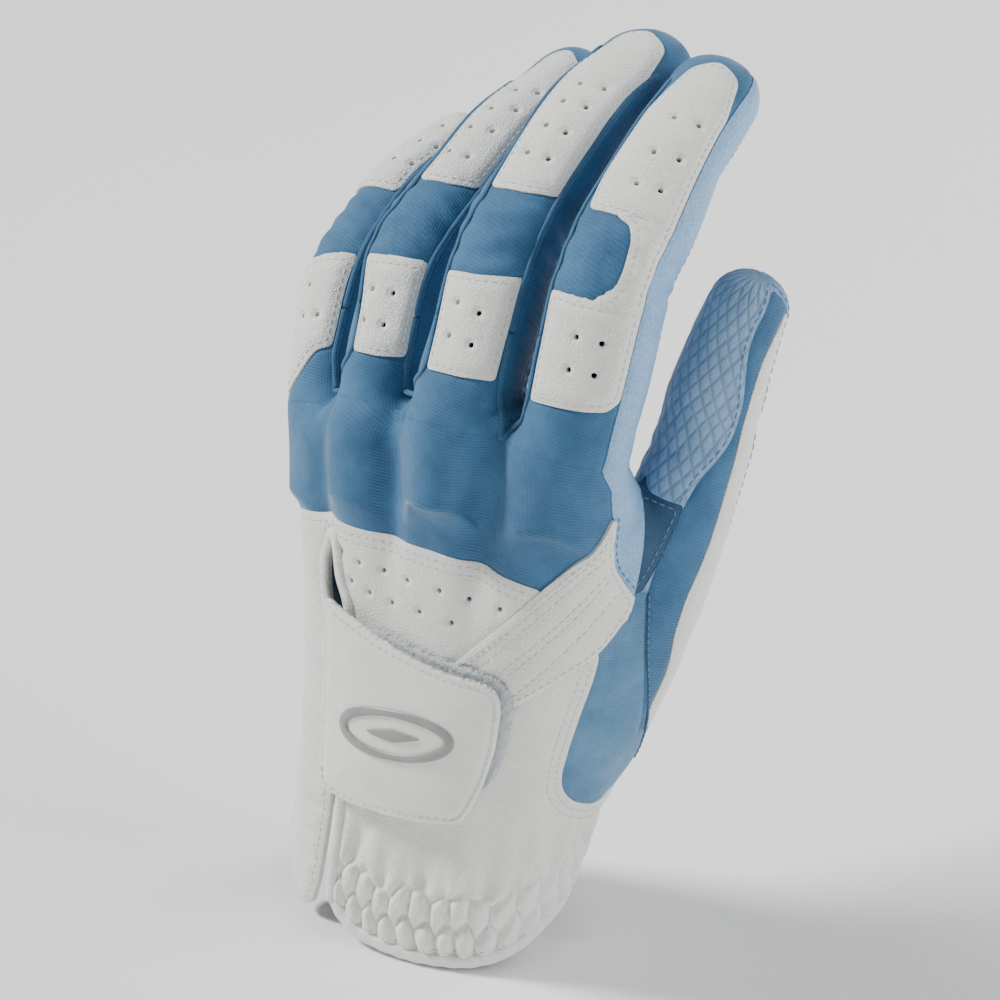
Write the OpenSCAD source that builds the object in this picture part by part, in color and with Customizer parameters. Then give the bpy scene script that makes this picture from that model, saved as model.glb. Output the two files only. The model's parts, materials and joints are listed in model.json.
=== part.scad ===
// Left-hand golf glove: leather and stretch-knit panels, flexible finger folds,
// a thumb, a wrist slit and a hook-and-loop closing tab.
// Frame: origin at the middle of the wrist opening, +Z from the wrist to the fingers,
// +X towards the thumb, +Y towards the palm; the back of the hand faces -Y.

/* [Hand] */
// how much wider the back and palm of the hand are than the usual size
hand_width_add = 0; // [-2:0.5:3]
// how much deeper, back to palm, the hand is than the usual size
hand_depth_add = 0; // [-2:0.5:2]
// thickness of a leather or knit panel
skin = 1.0; // [0.7:0.1:1.4]
// depth of the padded binding round the hem
hem_depth = 2.6; // [1.5:0.1:4]

/* [Fingers] */
// extra length of each finger between the root fold and the middle fold
finger_length_add = 0; // [-2:0.5:3]
// extra half width of each finger
finger_width_add = 0; // [-0.6:0.1:0.2]
// backward travel of a finger about its root fold, degrees
root_back = 20; // [0:5:20]
// travel of a finger about its root fold towards the palm, degrees
root_curl = 35; // [10:5:45]
// backward travel of a finger about its middle fold, degrees
middle_back = 30; // [0:5:30]
// travel of a finger about its middle fold towards the palm, degrees
middle_curl = 50; // [10:5:50]

/* [Thumb] */
// half width added to the thumb
thumb_width_add = 0; // [-0.5:0.1:1]
// gap left for the thumb's fold, along the thumb
thumb_fold = 8; // [6:0.5:10]

/* [Closing tab] */
// thickness of the padded tab
tab_thick = 2.0; // [1.2:0.1:3]
// height of the raised badge on the tab
badge_high = 0.6; // [0.3:0.1:1]
// badge half width and half height
badge_half = [11, 4.5];

/* [Hidden] */

white = [0.89, 0.9, 0.89];
blue = [0.48, 0.67, 0.81];
texture_blue = [0.44, 0.57, 0.71];
felt = [0.84, 0.88, 0.9];

// One row a finger: root point, splay, yaw, lean at the root, bend at the middle fold,
// bend at the end fold, three lengths, three half widths.
fa = finger_length_add;
fw = finger_width_add;
INDEX = [[32.6, -1.7, 115.9], 6, 9, 19.5, 36, 16, [26.5 + fa, 26, 25], [9.7 + fw, 9.6 + fw, 7.5]];
MIDDLE = [[10.9, -5.8, 115.8], -3, -3, 29.5, 26, 22.5, [28.5 + fa, 28.5, 26.8], [9.2 + fw, 9 + fw, 8.4]];
RING = [[-11.4, -0.4, 110.4], -7, -8, 28, 34, 13, [25.3 + fa, 29.5, 26], [8.3 + fw, 8.7 + fw, 7.3]];
LITTLE = [[-31, 8.5, 102.8], -20, -16, 30, 30, 20, [20 + fa, 20.7, 23], [7.7 + fw, 7.6 + fw, 6.9]];

function ss(t) = let (q = max(0, min(1, t))) q * q * (3 - 2 * q);
function unit(v) = v / norm(v);
function total(F) = F[6][0] + F[6][1] + F[6][2];
function lean(F, s) =
  F[3] + F[4] * ss((s - (F[6][0] - 7)) / 14)
  + F[5] * ss((s - (F[6][0] + F[6][1] - 7)) / 14);
function fz(F) = [sin(F[1]), 0, cos(F[1])];
function fx(F) = cos(F[2]) * [cos(F[1]), 0, -sin(F[1])] + sin(F[2]) * [0, 1, 0];
function fy(F) = -sin(F[2]) * [cos(F[1]), 0, -sin(F[1])] + cos(F[2]) * [0, 1, 0];
function along(F, s) = sin(lean(F, s)) * fy(F) + cos(lean(F, s)) * fz(F);
function back(F, s) = -(cos(lean(F, s)) * fy(F) - sin(lean(F, s)) * fz(F));
// points of the finger's middle line, every 1.5 mm from the root
function path(F) = [
  for (i = 0, p = F[0]; i <= ceil(total(F) / 1.5) + 1; p = p + 1.5 * along(F, 1.5 * i + 0.75), i = i + 1) p
];
function onpath(F, W, s) =
  s < 0 ? F[0] + s * along(F, 0)
  : let (i = min(floor(s / 1.5), len(W) - 2), u = s / 1.5 - i) W[i] * (1 - u) + W[i + 1] * u;
function half_w(F, s) = lookup(s / total(F), [[0, F[7][0]], [0.45, F[7][1]], [0.85, F[7][2]], [1, F[7][2]]]);
function cap(F, s) = max(0, min(0.998, (s - (total(F) - F[7][2])) / F[7][2]));
function round_off(q) = sqrt(1 - pow(q, 2.4));
// point on a finger: s along it, a round it (0 at the back, 90 towards the thumb), o outside it
function fp(F, W, s, a, o) =
  let (w = half_w(F, s), q = cap(F, s), k = round_off(q))
  onpath(F, W, s) + along(F, s) * o * q
  + (w + o) * k * sin(a) * fx(F) + (0.9 * w + o) * k * cos(a) * back(F, s);

// the hand's cross-sections: height, middle x, half width, middle y, half depth
HAND = [
  [-5, -2, 27, 0, 19], [5, -2.4, 28.2, 0, 18.5], [20, -0.6, 29.2, 0.5, 18],
  [40, 1.4, 29.2, 1, 17.5], [60, 3.4, 30.8, 1, 17], [80, 4.6, 33.9, 1, 16],
  [95, 5.3, 35.7, 0.5, 14.5], [108, 5.8, 36.5, 0, 12.5]
];
function col(k) = [for (r = HAND) [r[0], r[k]]];
HX = col(1);
HA = col(2);
HY = col(3);
HB = col(4);
function sg(v) = v < 0 ? -1 : 1;
// point on the hand: height, angle (0 thumb side, 90 palm, 180 little-finger side, 270 back), outset
function hp(z, t, o) = [
  lookup(z, HX) + (lookup(z, HA) + hand_width_add + o) * sg(cos(t)) * pow(abs(cos(t)), 0.87),
  lookup(z, HY) + (lookup(z, HB) + hand_depth_add + o) * sg(sin(t)) * pow(abs(sin(t)), 0.87),
  z
];

// the thumb's middle line and radii, by station
THUMB = [
  [11, 6, -3], [16, 8, 15], [24, 11, 40], [33, 13.5, 64], [40.5, 16.3, 85],
  [44.9, 20.4, 104], [46, 22.8, 113], [48, 24.8, 123], [50.2, 26.2, 131]
];
TR = [10, 11.5, 12, 11, 9.4, 8.2, 7.6, 7.3, 6.5];
function pick(V, i) = V[max(0, min(len(V) - 1, i))];
function cr(V, t) =
  let (
    q = max(0, min(len(V) - 1, t)), i = floor(q), u = q - i,
    a = pick(V, i - 1), b = pick(V, i), c = pick(V, i + 1), d = pick(V, i + 2)
  )
  0.5 * (2 * b + u * (c - a) + u * u * (2 * a - 5 * b + 4 * c - d) + u * u * u * (3 * b - a - 3 * c + d));
function tdir(t) = let (q = min(t, 7.9)) unit(cr(THUMB, q + 0.05) - cr(THUMB, q - 0.05));
function tn(t) = let (d = tdir(t), n = [0.85, -0.5, 0]) unit(n - (n * d) * d);
// point on the thumb: station (8 to 9 is the rounded end), angle (0 at the nail), outset
function tp(t, a, o) =
  let (
    d = tdir(t), n = tn(t), x = cross(d, n), q = max(0, min(0.998, t - 8)),
    k = sqrt(1 - pow(q, 2.2)), r = cr(TR, t) + thumb_width_add + o
  )
  cr(THUMB, t) + d * q * (7.2 + o) + r * k * (sin(a) * x + 0.92 * cos(a) * n);
function tstation(mm) = mm / 19;

// ---- building helpers ----
// a curved plate from two matching grids of points, outer and inner
module plate(O, I) {
  nu = len(O);
  nv = len(O[0]);
  m = nu * nv;
  function id(i, j) = i * nv + j;
  pts = concat([for (r = O) for (p = r) p], [for (r = I) for (p = r) p]);
  outer = [for (i = [0:nu - 2]) for (j = [0:nv - 2]) each [
    [id(i, j), id(i + 1, j), id(i + 1, j + 1)], [id(i, j), id(i + 1, j + 1), id(i, j + 1)]
  ]];
  inner = [for (f = outer) [m + f[2], m + f[1], m + f[0]]];
  edge0 = [for (j = [0:nv - 2]) each [
    [id(0, j), id(0, j + 1), m + id(0, j + 1)], [id(0, j), m + id(0, j + 1), m + id(0, j)]
  ]];
  edge1 = [for (j = [0:nv - 2]) each [
    [id(nu - 1, j + 1), id(nu - 1, j), m + id(nu - 1, j)],
    [id(nu - 1, j + 1), m + id(nu - 1, j), m + id(nu - 1, j + 1)]
  ]];
  side0 = [for (i = [0:nu - 2]) each [
    [id(i + 1, 0), id(i, 0), m + id(i, 0)], [id(i + 1, 0), m + id(i, 0), m + id(i + 1, 0)]
  ]];
  side1 = [for (i = [0:nu - 2]) each [
    [id(i, nv - 1), id(i + 1, nv - 1), m + id(i + 1, nv - 1)],
    [id(i, nv - 1), m + id(i + 1, nv - 1), m + id(i, nv - 1)]
  ]];
  polyhedron(points = pts, faces = concat(outer, inner, edge0, edge1, side0, side1), convexity = 8);
}
// a closed solid from rings of points
module rings(R) {
  n = len(R[0]);
  m = len(R);
  pts = [for (r = R) for (p = r) p];
  side = [for (i = [0:m - 2]) for (j = [0:n - 1]) each [
    [i * n + j, (i + 1) * n + j, (i + 1) * n + (j + 1) % n],
    [i * n + j, (i + 1) * n + (j + 1) % n, i * n + (j + 1) % n]
  ]];
  low = [[for (j = [0:n - 1]) j]];
  high = [[for (j = [n - 1:-1:0]) (m - 1) * n + j]];
  polyhedron(points = pts, faces = concat(side, low, high), convexity = 4);
}
function steps(a, b, n) = [for (i = [0:n]) a + (b - a) * i / n];
// hand plate over listed angles, heights between two tables of (angle, height)
module hand_plate(T, LO, HI, n, o0, o1) {
  V = steps(0, 1, n);
  plate(
    [for (v = V) [for (t = T) hp(lookup(t, LO) * (1 - v) + lookup(t, HI) * v, t, o1)]],
    [for (v = V) [for (t = T) hp(lookup(t, LO) * (1 - v) + lookup(t, HI) * v, t, o0)]]
  );
}
// hand plate over listed heights, angles between two tables of (height, angle)
module hand_plate_z(Z, LEFT, RIGHT, n, o0, o1) {
  V = steps(0, 1, n);
  plate(
    [for (z = Z) [for (v = V) hp(z, lookup(z, LEFT) * (1 - v) + lookup(z, RIGHT) * v, o1)]],
    [for (z = Z) [for (v = V) hp(z, lookup(z, LEFT) * (1 - v) + lookup(z, RIGHT) * v, o0)]]
  );
}
module hand_solid(o, z0, z1) {
  rings([for (z = steps(z0, z1, 8)) [for (t = [0:10:350]) hp(z, t, o)]]);
}
module thumb_solid(o, t0, t1) {
  rings([for (t = steps(t0, t1, 12)) [for (a = [0:15:345]) tp(t, a, o)]]);
}
module thumb_plate(t0, t1, n, A, o0, o1) {
  V = steps(t0, t1, n);
  plate([for (t = V) [for (a = A) tp(t, a, o1)]], [for (t = V) [for (a = A) tp(t, a, o0)]]);
}
// room left beside a fold, more towards the palm than towards the back
function fold_room(F, a, up, down) =
  1.3 + 10.5 * (cos(a) > 0 ? cos(a) * tan(up) : -cos(a) * tan(down));
function mid_room(F, a) = fold_room(F, a, middle_back / 2 + 3, middle_curl / 2 + 3);
function root_room(F, a) = fold_room(F, a, root_back / 2 + 3, root_curl / 2 + 3);
// finger plate: s0(a) to s1(a) given as base value plus room at a fold
module finger_plate(F, A, s0, r0, s1, r1, n, o0, o1) {
  W = path(F);
  V = steps(0, 1, n);
  function lo(a) = s0 + (r0 == 1 ? root_room(F, a) : r0 == 2 ? mid_room(F, a) : 0);
  function hi(a) = s1 - (r1 == 1 ? root_room(F, a) : r1 == 2 ? mid_room(F, a) : 0);
  plate(
    [for (v = V) [for (a = A) fp(F, W, lo(a) * (1 - v) + hi(a) * v, a, o1)]],
    [for (v = V) [for (a = A) fp(F, W, lo(a) * (1 - v) + hi(a) * v, a, o0)]]
  );
}
module finger_solid(F, o, s0, s1) {
  W = path(F);
  rings([for (s = steps(s0, s1, 3)) [for (a = [0:15:345]) fp(F, W, s, a, o)]]);
}
module all_fingers(o, s0, s1) {
  finger_solid(INDEX, o, s0, s1);
  finger_solid(MIDDLE, o, s0, s1);
  finger_solid(RING, o, s0, s1);
  finger_solid(LITTLE, o, s0, s1);
}

// ---- hand ----
TOP = 98.5;
BACK_SEAM = [[175, 88], [303, 88], [313, 84.3], [316, 84.8], [323, 87], [332, 93.6], [338, 96.6], [344, 97.8]];
// short finger roots that stand on the hand, between two angles round each finger
module finger_roots(A, d) {
  difference() {
    for (F = [INDEX, MIDDLE, RING, LITTLE]) finger_plate(F, A, -18, 0, 0, 1, 3, 0, skin);
    translate([-60, -60, 40]) cube([130, 120, TOP - 40 - d]);
  }
}
module back_panel() color(blue) {
  hand_plate([184, 194, 206, 218, 230, 242, 254, 266, 278, 290, 303, 308, 313, 318, 323, 328, 332, 336, 340],
    BACK_SEAM, [[0, TOP], [400, TOP]], 2, 0, skin);
  finger_roots(steps(-88, 88, 8), 0.3);
}
module palm_panel() color(texture_blue) {
  difference() {
    union() {
      hand_plate([62, 72, 84, 96, 108, 120, 132, 144, 156, 168, 176],
        [[0, 24], [400, 24]], [[0, TOP], [400, TOP]], 5, 0, skin);
      finger_roots(steps(92, 268, 8), 1);
      difference() {
        rings([for (z = [TOP - 1.5, TOP - 0.35]) [for (t = [0:10:350]) hp(z, t, -0.5)]]);
        all_fingers(0, -30, -2);
      }
    }
    thumb_solid(skin + 0.15, 0, 4.5);
  }
}
module ulnar_side() color(blue)
  hand_plate([176.5, 180, 183.5, 183.8, 190, 198, 205.5], [[170, 24], [184, 24], [205.5, 24]],
    [[170, TOP - 0.5], [183.5, TOP - 0.5], [183.8, 87.7], [206, 87.7]], 5, 0, skin);
module yoke() color(white)
  hand_plate([237, 240, 244, 246.8, 247.5, 255, 263, 272, 279, 285, 292, 300, 306, 311],
    [[237, 79.8], [240, 78], [246.8, 72.5], [247.5, 62.1], [285, 62.1], [300, 76.1], [311, 81.8]],
    [[237, 87.7], [303, 87.7], [311, 84.8]], 3, 0, skin);
module diagonal_strap() color(white) difference() {
  hand_plate([287.5, 293, 300, 308, 316, 323, 328, 332, 338, 344, 348, 352, 358, 364],
    [[285, 62.4], [298, 60.2], [312, 58.7], [326, 64.7], [347, 69.2], [364, 77]],
    [[285, 61.7], [300, 75.7], [316, 84.2], [323, 86.4], [332, 93], [338, 96], [344, 97.2],
     [348, 92], [352, 87.6], [364, 80]], 3, 0, skin + 0.4);
  thumb_solid(skin + 0.15, 0, 4.5);
}
module lower_back() color(white) difference() {
  hand_plate([252, 260, 268, 276, 285, 292, 298, 305, 312, 319, 326, 336, 344.6, 345.3, 352, 360, 369, 380, 392, 404],
    [[252, 18.2], [256, 16.4], [273, 14.2], [297, 14.4], [320, 15.9], [346, 19.4], [380, 21.4], [410, 22]],
    [[252, 61.7], [285, 61.7], [298, 59.8], [312, 58.3], [326, 64.3], [344.6, 68.3], [345.3, 41.6],
     [352, 37], [369, 31.3], [410, 31.3]], 4, 0, skin);
  thumb_solid(skin + 0.15, 0, 4.5);
}
module radial_panel() color(blue) difference() {
  hand_plate([345.7, 352, 360, 369, 380, 392, 404], [[345.7, 42], [352, 37.3], [369, 31.7], [410, 31.7]],
    [[345.7, 68.5], [347, 68.8], [364, 76.6], [380, 77], [410, 77]], 4, 0, skin);
  thumb_solid(skin + 0.15, 0, 4.5);
}
module palm_edge() color([0.66, 0.73, 0.82]) difference() {
  hand_plate([345.5, 348.5, 352.5, 364.4, 376, 390, 405, 420],
    [[345.5, 96.5], [348.5, 92.6], [352.5, 88], [364.4, 80.4], [376, 77.6], [420, 77.6]],
    [[0, TOP - 1.4], [430, TOP - 1.4]], 3, 0, skin);
  thumb_solid(skin + 0.15, 0, 4.5);
}
module ulnar_flap() color(white)
  hand_plate_z([1.5, 3, 5, 8, 12, 18, 26, 40, 55, 71, 75, 79, 83, 87.6],
    [[1.5, 229], [3, 223], [5, 218], [8, 213], [12, 209], [18, 206.8], [26, 206], [88, 206]],
    [[1.5, 234], [3, 238], [5, 241], [12, 244.5], [26, 245], [60, 244], [71, 242], [79, 235.5], [88, 235.5]],
    5, 0, skin + 0.3);
module slit_binding() color(white)
  hand_plate_z([22, 34, 46, 58, 60.6, 61.5, 68, 73, 76],
    [[22, 248.2], [58, 246.7], [68, 245.4], [73, 243.2], [76, 240.5]],
    [[22, 251.2], [60.6, 251], [61.5, 247], [68, 246.4], [73, 244.5], [76, 241.4]], 2, -0.2, skin + 0.2);
CUFF_T = [252, 255, 258, 262, 266, 270, 275, 282, 289, 296, 303, 310, 318, 327, 336, 345, 354, 364, 376, 390, 403];
CUFF_LO = [[252, 9.2], [255, 7.4], [262, 4.6], [275, 2.9], [310, 2.9], [327, 4.2], [354, 8.2], [376, 10.8], [410, 12.8]];
CUFF_HI = [[252, 18], [256, 16.2], [273, 14], [297, 14.2], [320, 15.7], [346, 19.2], [380, 21.2], [410, 21.8]];
function drop(T, d) = [for (r = T) [r[0], r[1] - d]];
module cuff_shirring() {
  V = steps(0, 1, 6);
  T = steps(252, 403, 72);
  function puff(t, v) = 0.55 * abs(sin((t - 252) * 9)) * (0.4 + 0.6 * sin(180 * v));
  function zz(t, v) = lookup(t, CUFF_LO) * (1 - v) + lookup(t, CUFF_HI) * v;
  color(white) plate(
    [for (v = V) [for (t = T) hp(zz(t, v), t, skin + 0.1 + puff(t, v))]],
    [for (v = V) [for (t = T) hp(zz(t, v), t, 0)]]
  );
}
module palm_cuff() color(white)
  hand_plate(steps(44, 205, 18), [[40, 12.9], [180, 13.6], [205, 17]], [[40, 21.9], [180, 23.7], [205, 23.7]],
    2, 0, skin);
module hem_binding() color(white) {
  hand_plate(CUFF_T, drop(CUFF_LO, 0.2 + hem_depth), drop(CUFF_LO, 0.2), 1, -0.2, skin + 0.4);
  hand_plate(steps(44, 205, 18), [[40, 12.6 - hem_depth], [180, 13.3 - hem_depth], [205, 16.7 - hem_depth]],
    [[40, 12.7], [180, 13.4], [205, 16.8]], 1, -0.2, skin + 0.4);
}

// ---- thumb ----
T_FOLD = 4.55;
ROOM = tstation(thumb_fold / 2);
module thumb_base(A) difference() {
  thumb_plate(1.4, T_FOLD - ROOM, 8, A, 0, skin);
  hand_solid(skin + 0.15, -6, TOP + 0.1);
}
module thumb_base_palm() color(texture_blue) thumb_base(steps(52.5, 337, 16));
module thumb_base_back() color(blue) thumb_base(steps(-22.5, 19, 4));
module thumb_base_edge() color(white) thumb_base(steps(19.5, 52, 3));
module thumb_gusset() color([0.3, 0.38, 0.5]) difference() {
  thumb_plate(3.85, T_FOLD - ROOM - 0.02, 2, steps(-80, -34, 4), skin + 0.1, skin + 0.5);
  hand_solid(skin + 0.6, -6, TOP + 0.1);
}
module thumb_palm() color(texture_blue) thumb_plate(T_FOLD + ROOM, 9, 12, steps(52.5, 342, 16), 0, skin);
module thumb_back() color(blue) thumb_plate(T_FOLD + ROOM, 9, 12, steps(-17.5, 19, 4), 0, skin);
module thumb_edge() color(white) thumb_plate(T_FOLD + ROOM, 9, 12, steps(19.5, 52, 3), 0, skin);
module thumb_sleeve() color(blue) difference() {
  thumb_solid(-0.4, T_FOLD - ROOM - 0.25, T_FOLD + ROOM + 0.25);
  thumb_solid(-1.4, T_FOLD - ROOM - 0.3, T_FOLD + ROOM + 0.3);
}

// ---- closing tab ----
TAB_Z = [31, 33, 36, 40, 46, 53, 60, 64, 67, 69.5];
TAB_LEFT = [[31, 247], [33, 245.6], [36, 244.5], [60, 242.8], [66, 242], [69.5, 242.4]];
TAB_RIGHT = [[31, 285], [33, 295], [36, 300], [40, 302.5], [60, 304.5], [62, 303], [64, 297], [67, 275], [69.5, 256]];
TAB_IN = skin + 1.75;
module closing_tab() color(white)
  hand_plate_z(TAB_Z, TAB_LEFT, TAB_RIGHT, 12, TAB_IN, TAB_IN + tab_thick);
module hook_pad() color([0.75, 0.78, 0.8])
  hand_plate_z(steps(37, 60, 3), [[30, 262], [70, 262]], [[30, 299], [70, 299]], 6, TAB_IN - 0.5, TAB_IN - 0.1);
module loop_pad() color(felt)
  hand_plate(steps(258, 311, 9), [[258, 38.5], [303, 38.5], [311, 43]], [[258, 61.5], [298, 59.6], [311, 58]],
    4, skin + 0.1, skin + 0.8);
module tab_badge() {
  U = steps(-1, 1, 10);
  V = steps(-0.96, 0.96, 6);
  function bp(u, v, o) = hp(48 + v * badge_half[1], 273 + u * badge_half[0] * 2.3 * sqrt(1 - v * v), o);
  color([0.72, 0.73, 0.73]) plate(
    [for (v = V) [for (u = U) bp(u, v, TAB_IN + tab_thick + 0.2 + badge_high)]],
    [for (v = V) [for (u = U) bp(u, v, TAB_IN + tab_thick + 0.2)]]
  );
}

// ---- fingers ----
BACKS = steps(-112, 112, 14);
PALMS = steps(113.5, 246.5, 8);
module low(F) color(blue) finger_plate(F, BACKS, 0, 1, F[6][0], 2, 5, 0, skin);
module low_palm(F) color(texture_blue) finger_plate(F, PALMS, 0, 1, F[6][0], 2, 3, 0, skin);
module end(F) color(blue) finger_plate(F, BACKS, F[6][0], 2, total(F), 0, 12, 0, skin);
module end_palm(F) color(texture_blue) finger_plate(F, PALMS, F[6][0], 2, total(F), 0, 12, 0, skin);
module patch(F, s0, s1, n) color(white)
  finger_plate(F, steps(-46, 56, 8), s0, 0, s1, 0, n, skin + 0.25, skin + 0.75);
module sleeve(F) color(blue) difference() {
  finger_solid(F, -0.4, F[6][0] - 9, F[6][0] + 9);
  finger_solid(F, -1.4, F[6][0] - 10, F[6][0] + 10);
}
module knuckle_patch(F) patch(F, 4.6, F[6][0] - 7.6, 3);
module tip_patch(F, s0) patch(F, s0, total(F) - 3.8, 9);

module index_low() low(INDEX);
module index_low_palm() low_palm(INDEX);
module index_knuckle_patch() knuckle_patch(INDEX);
module index_sleeve() sleeve(INDEX);
module index_end() end(INDEX);
module index_end_palm() end_palm(INDEX);
module index_tip_patch() tip_patch(INDEX, 34);
module middle_low() low(MIDDLE);
module middle_low_palm() low_palm(MIDDLE);
module middle_knuckle_patch() knuckle_patch(MIDDLE);
module middle_sleeve() sleeve(MIDDLE);
module middle_end() end(MIDDLE);
module middle_end_palm() end_palm(MIDDLE);
module middle_tip_patch() tip_patch(MIDDLE, 36.5);
module ring_low() low(RING);
module ring_low_palm() low_palm(RING);
module ring_knuckle_patch() knuckle_patch(RING);
module ring_sleeve() sleeve(RING);
module ring_end() end(RING);
module ring_end_palm() end_palm(RING);
module ring_tip_patch() tip_patch(RING, 36);
module little_low() low(LITTLE);
module little_low_palm() low_palm(LITTLE);
module little_knuckle_patch() patch(LITTLE, 4.6, 13.6, 2);
module little_sleeve() sleeve(LITTLE);
module little_end() end(LITTLE);
module little_end_palm() end_palm(LITTLE);
module little_tip_patch() tip_patch(LITTLE, 34);

back_panel();
yoke();
diagonal_strap();
lower_back();
ulnar_flap();
slit_binding();
cuff_shirring();
hem_binding();
palm_cuff();
palm_panel();
ulnar_side();
radial_panel();
palm_edge();
thumb_base_palm();
thumb_base_back();
thumb_base_edge();
thumb_gusset();
loop_pad();
closing_tab();
hook_pad();
tab_badge();
thumb_palm();
thumb_back();
thumb_edge();
thumb_sleeve();
index_low();
index_low_palm();
index_knuckle_patch();
index_sleeve();
index_end();
index_end_palm();
index_tip_patch();
middle_low();
middle_low_palm();
middle_knuckle_patch();
middle_sleeve();
middle_end();
middle_end_palm();
middle_tip_patch();
ring_low();
ring_low_palm();
ring_knuckle_patch();
ring_sleeve();
ring_end();
ring_end_palm();
ring_tip_patch();
little_low();
little_low_palm();
little_knuckle_patch();
little_sleeve();
little_end();
little_end_palm();
little_tip_patch();
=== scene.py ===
# Golf glove, left hand: the looks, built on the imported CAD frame.
# Lengths here are in millimetres until a mesh is made.
import bpy
import json
import math
import numpy as np
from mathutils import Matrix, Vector
from mathutils.bvhtree import BVHTree


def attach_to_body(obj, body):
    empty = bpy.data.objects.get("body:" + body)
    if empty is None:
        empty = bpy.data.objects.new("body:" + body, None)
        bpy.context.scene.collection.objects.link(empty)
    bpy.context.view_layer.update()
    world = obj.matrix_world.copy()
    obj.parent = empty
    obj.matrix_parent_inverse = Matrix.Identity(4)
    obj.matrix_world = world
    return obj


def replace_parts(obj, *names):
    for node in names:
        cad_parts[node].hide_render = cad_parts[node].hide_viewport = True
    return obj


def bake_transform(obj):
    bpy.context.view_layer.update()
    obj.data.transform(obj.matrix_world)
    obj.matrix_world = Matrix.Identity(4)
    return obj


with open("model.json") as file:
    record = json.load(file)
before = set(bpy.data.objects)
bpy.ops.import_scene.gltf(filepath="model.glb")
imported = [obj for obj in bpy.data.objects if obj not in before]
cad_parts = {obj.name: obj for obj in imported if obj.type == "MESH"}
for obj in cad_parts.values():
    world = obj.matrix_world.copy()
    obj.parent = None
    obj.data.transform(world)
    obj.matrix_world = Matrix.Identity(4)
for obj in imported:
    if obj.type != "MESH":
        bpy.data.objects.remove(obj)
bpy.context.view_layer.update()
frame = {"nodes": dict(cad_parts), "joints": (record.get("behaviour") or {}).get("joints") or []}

JOINTS = {j["name"]: j for j in frame["joints"]}
GRID = 0.75  # cell of the grid that the skin is taken from


def joint_point(name):
    return np.array(JOINTS[name]["pos_m"], float) * 1000


# ------------------------------------------------------------------ skeleton
# splay, yaw, lean at the root, bend at the middle fold, bend at the end fold, lengths, half widths
FINGERS = {
    "index": (6, 9, 19.5, 36, 16, (26.5, 26, 25), (10.7, 10.6, 8.6)),
    "middle": (-3, -3, 29.5, 26, 22.5, (28.5, 28.5, 26.8), (10.2, 10, 9.5)),
    "ring": (-7, -8, 28, 34, 13, (25.3, 29.5, 26), (9.3, 9.8, 8.4)),
    "little": (-20, -16, 30, 30, 20, (20, 20.7, 23), (8.7, 8.7, 7.9)),
}
NAMES = list(FINGERS)
FOLD_START = {"index": -8, "middle": -7.5, "ring": -5, "little": -6.5}  # where a finger's panels begin
FOLD_FROM = {"index": 0.5, "middle": 0.5, "ring": 1.5, "little": 2.5}  # where its root fold begins
# height, middle x, half width, middle y, half depth of the hand
HAND = np.array([
    [-14, -1.6, 27.2, 0, 20.2], [-5, -2, 28, 0, 20], [5, -2.6, 29, 0, 19.5], [20, -0.8, 30, 0.5, 19],
    [40, 1.4, 30.2, 1, 18.5], [60, 3.4, 31.8, 1, 18], [80, 5, 34.5, 1, 17], [95, 6, 36, 0.5, 15.5],
    [110, 6.6, 36.4, 0, 13.5],
])
THUMB_LINE = np.array([
    [9, 5, -3], [13.5, 7, 15], [23.4, 10.7, 40], [33, 13.5, 64], [40.5, 16.3, 85],
    [44.9, 20.4, 104], [46, 22.8, 113], [48, 24.8, 123], [50.2, 26.2, 131],
], float)
THUMB_R = np.array([7.5, 9.5, 12.2, 11.8, 10.4, 9.2, 8.6, 8.3, 7.5])
POW = 2.3


def smooth(t):
    t = np.clip(t, 0, 1)
    return t * t * (3 - 2 * t)


def rows(x, table, k):
    """Smooth (cubic Hermite) reading of column k of a table whose first column rises."""
    x = np.asarray(x, float)
    xs, ys = table[:, 0], table[:, k]
    m = np.gradient(ys, xs)
    i = np.clip(np.searchsorted(xs, x) - 1, 0, len(xs) - 2)
    h = xs[i + 1] - xs[i]
    t = np.clip((x - xs[i]) / h, 0, 1)
    return ((1 + 2 * t) * (1 - t) ** 2 * ys[i] + t * (1 - t) ** 2 * h * m[i]
            + t * t * (3 - 2 * t) * ys[i + 1] + t * t * (t - 1) * h * m[i + 1])


def unit(v):
    return v / np.maximum(np.linalg.norm(v, axis=-1, keepdims=True), 1e-12)


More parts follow.
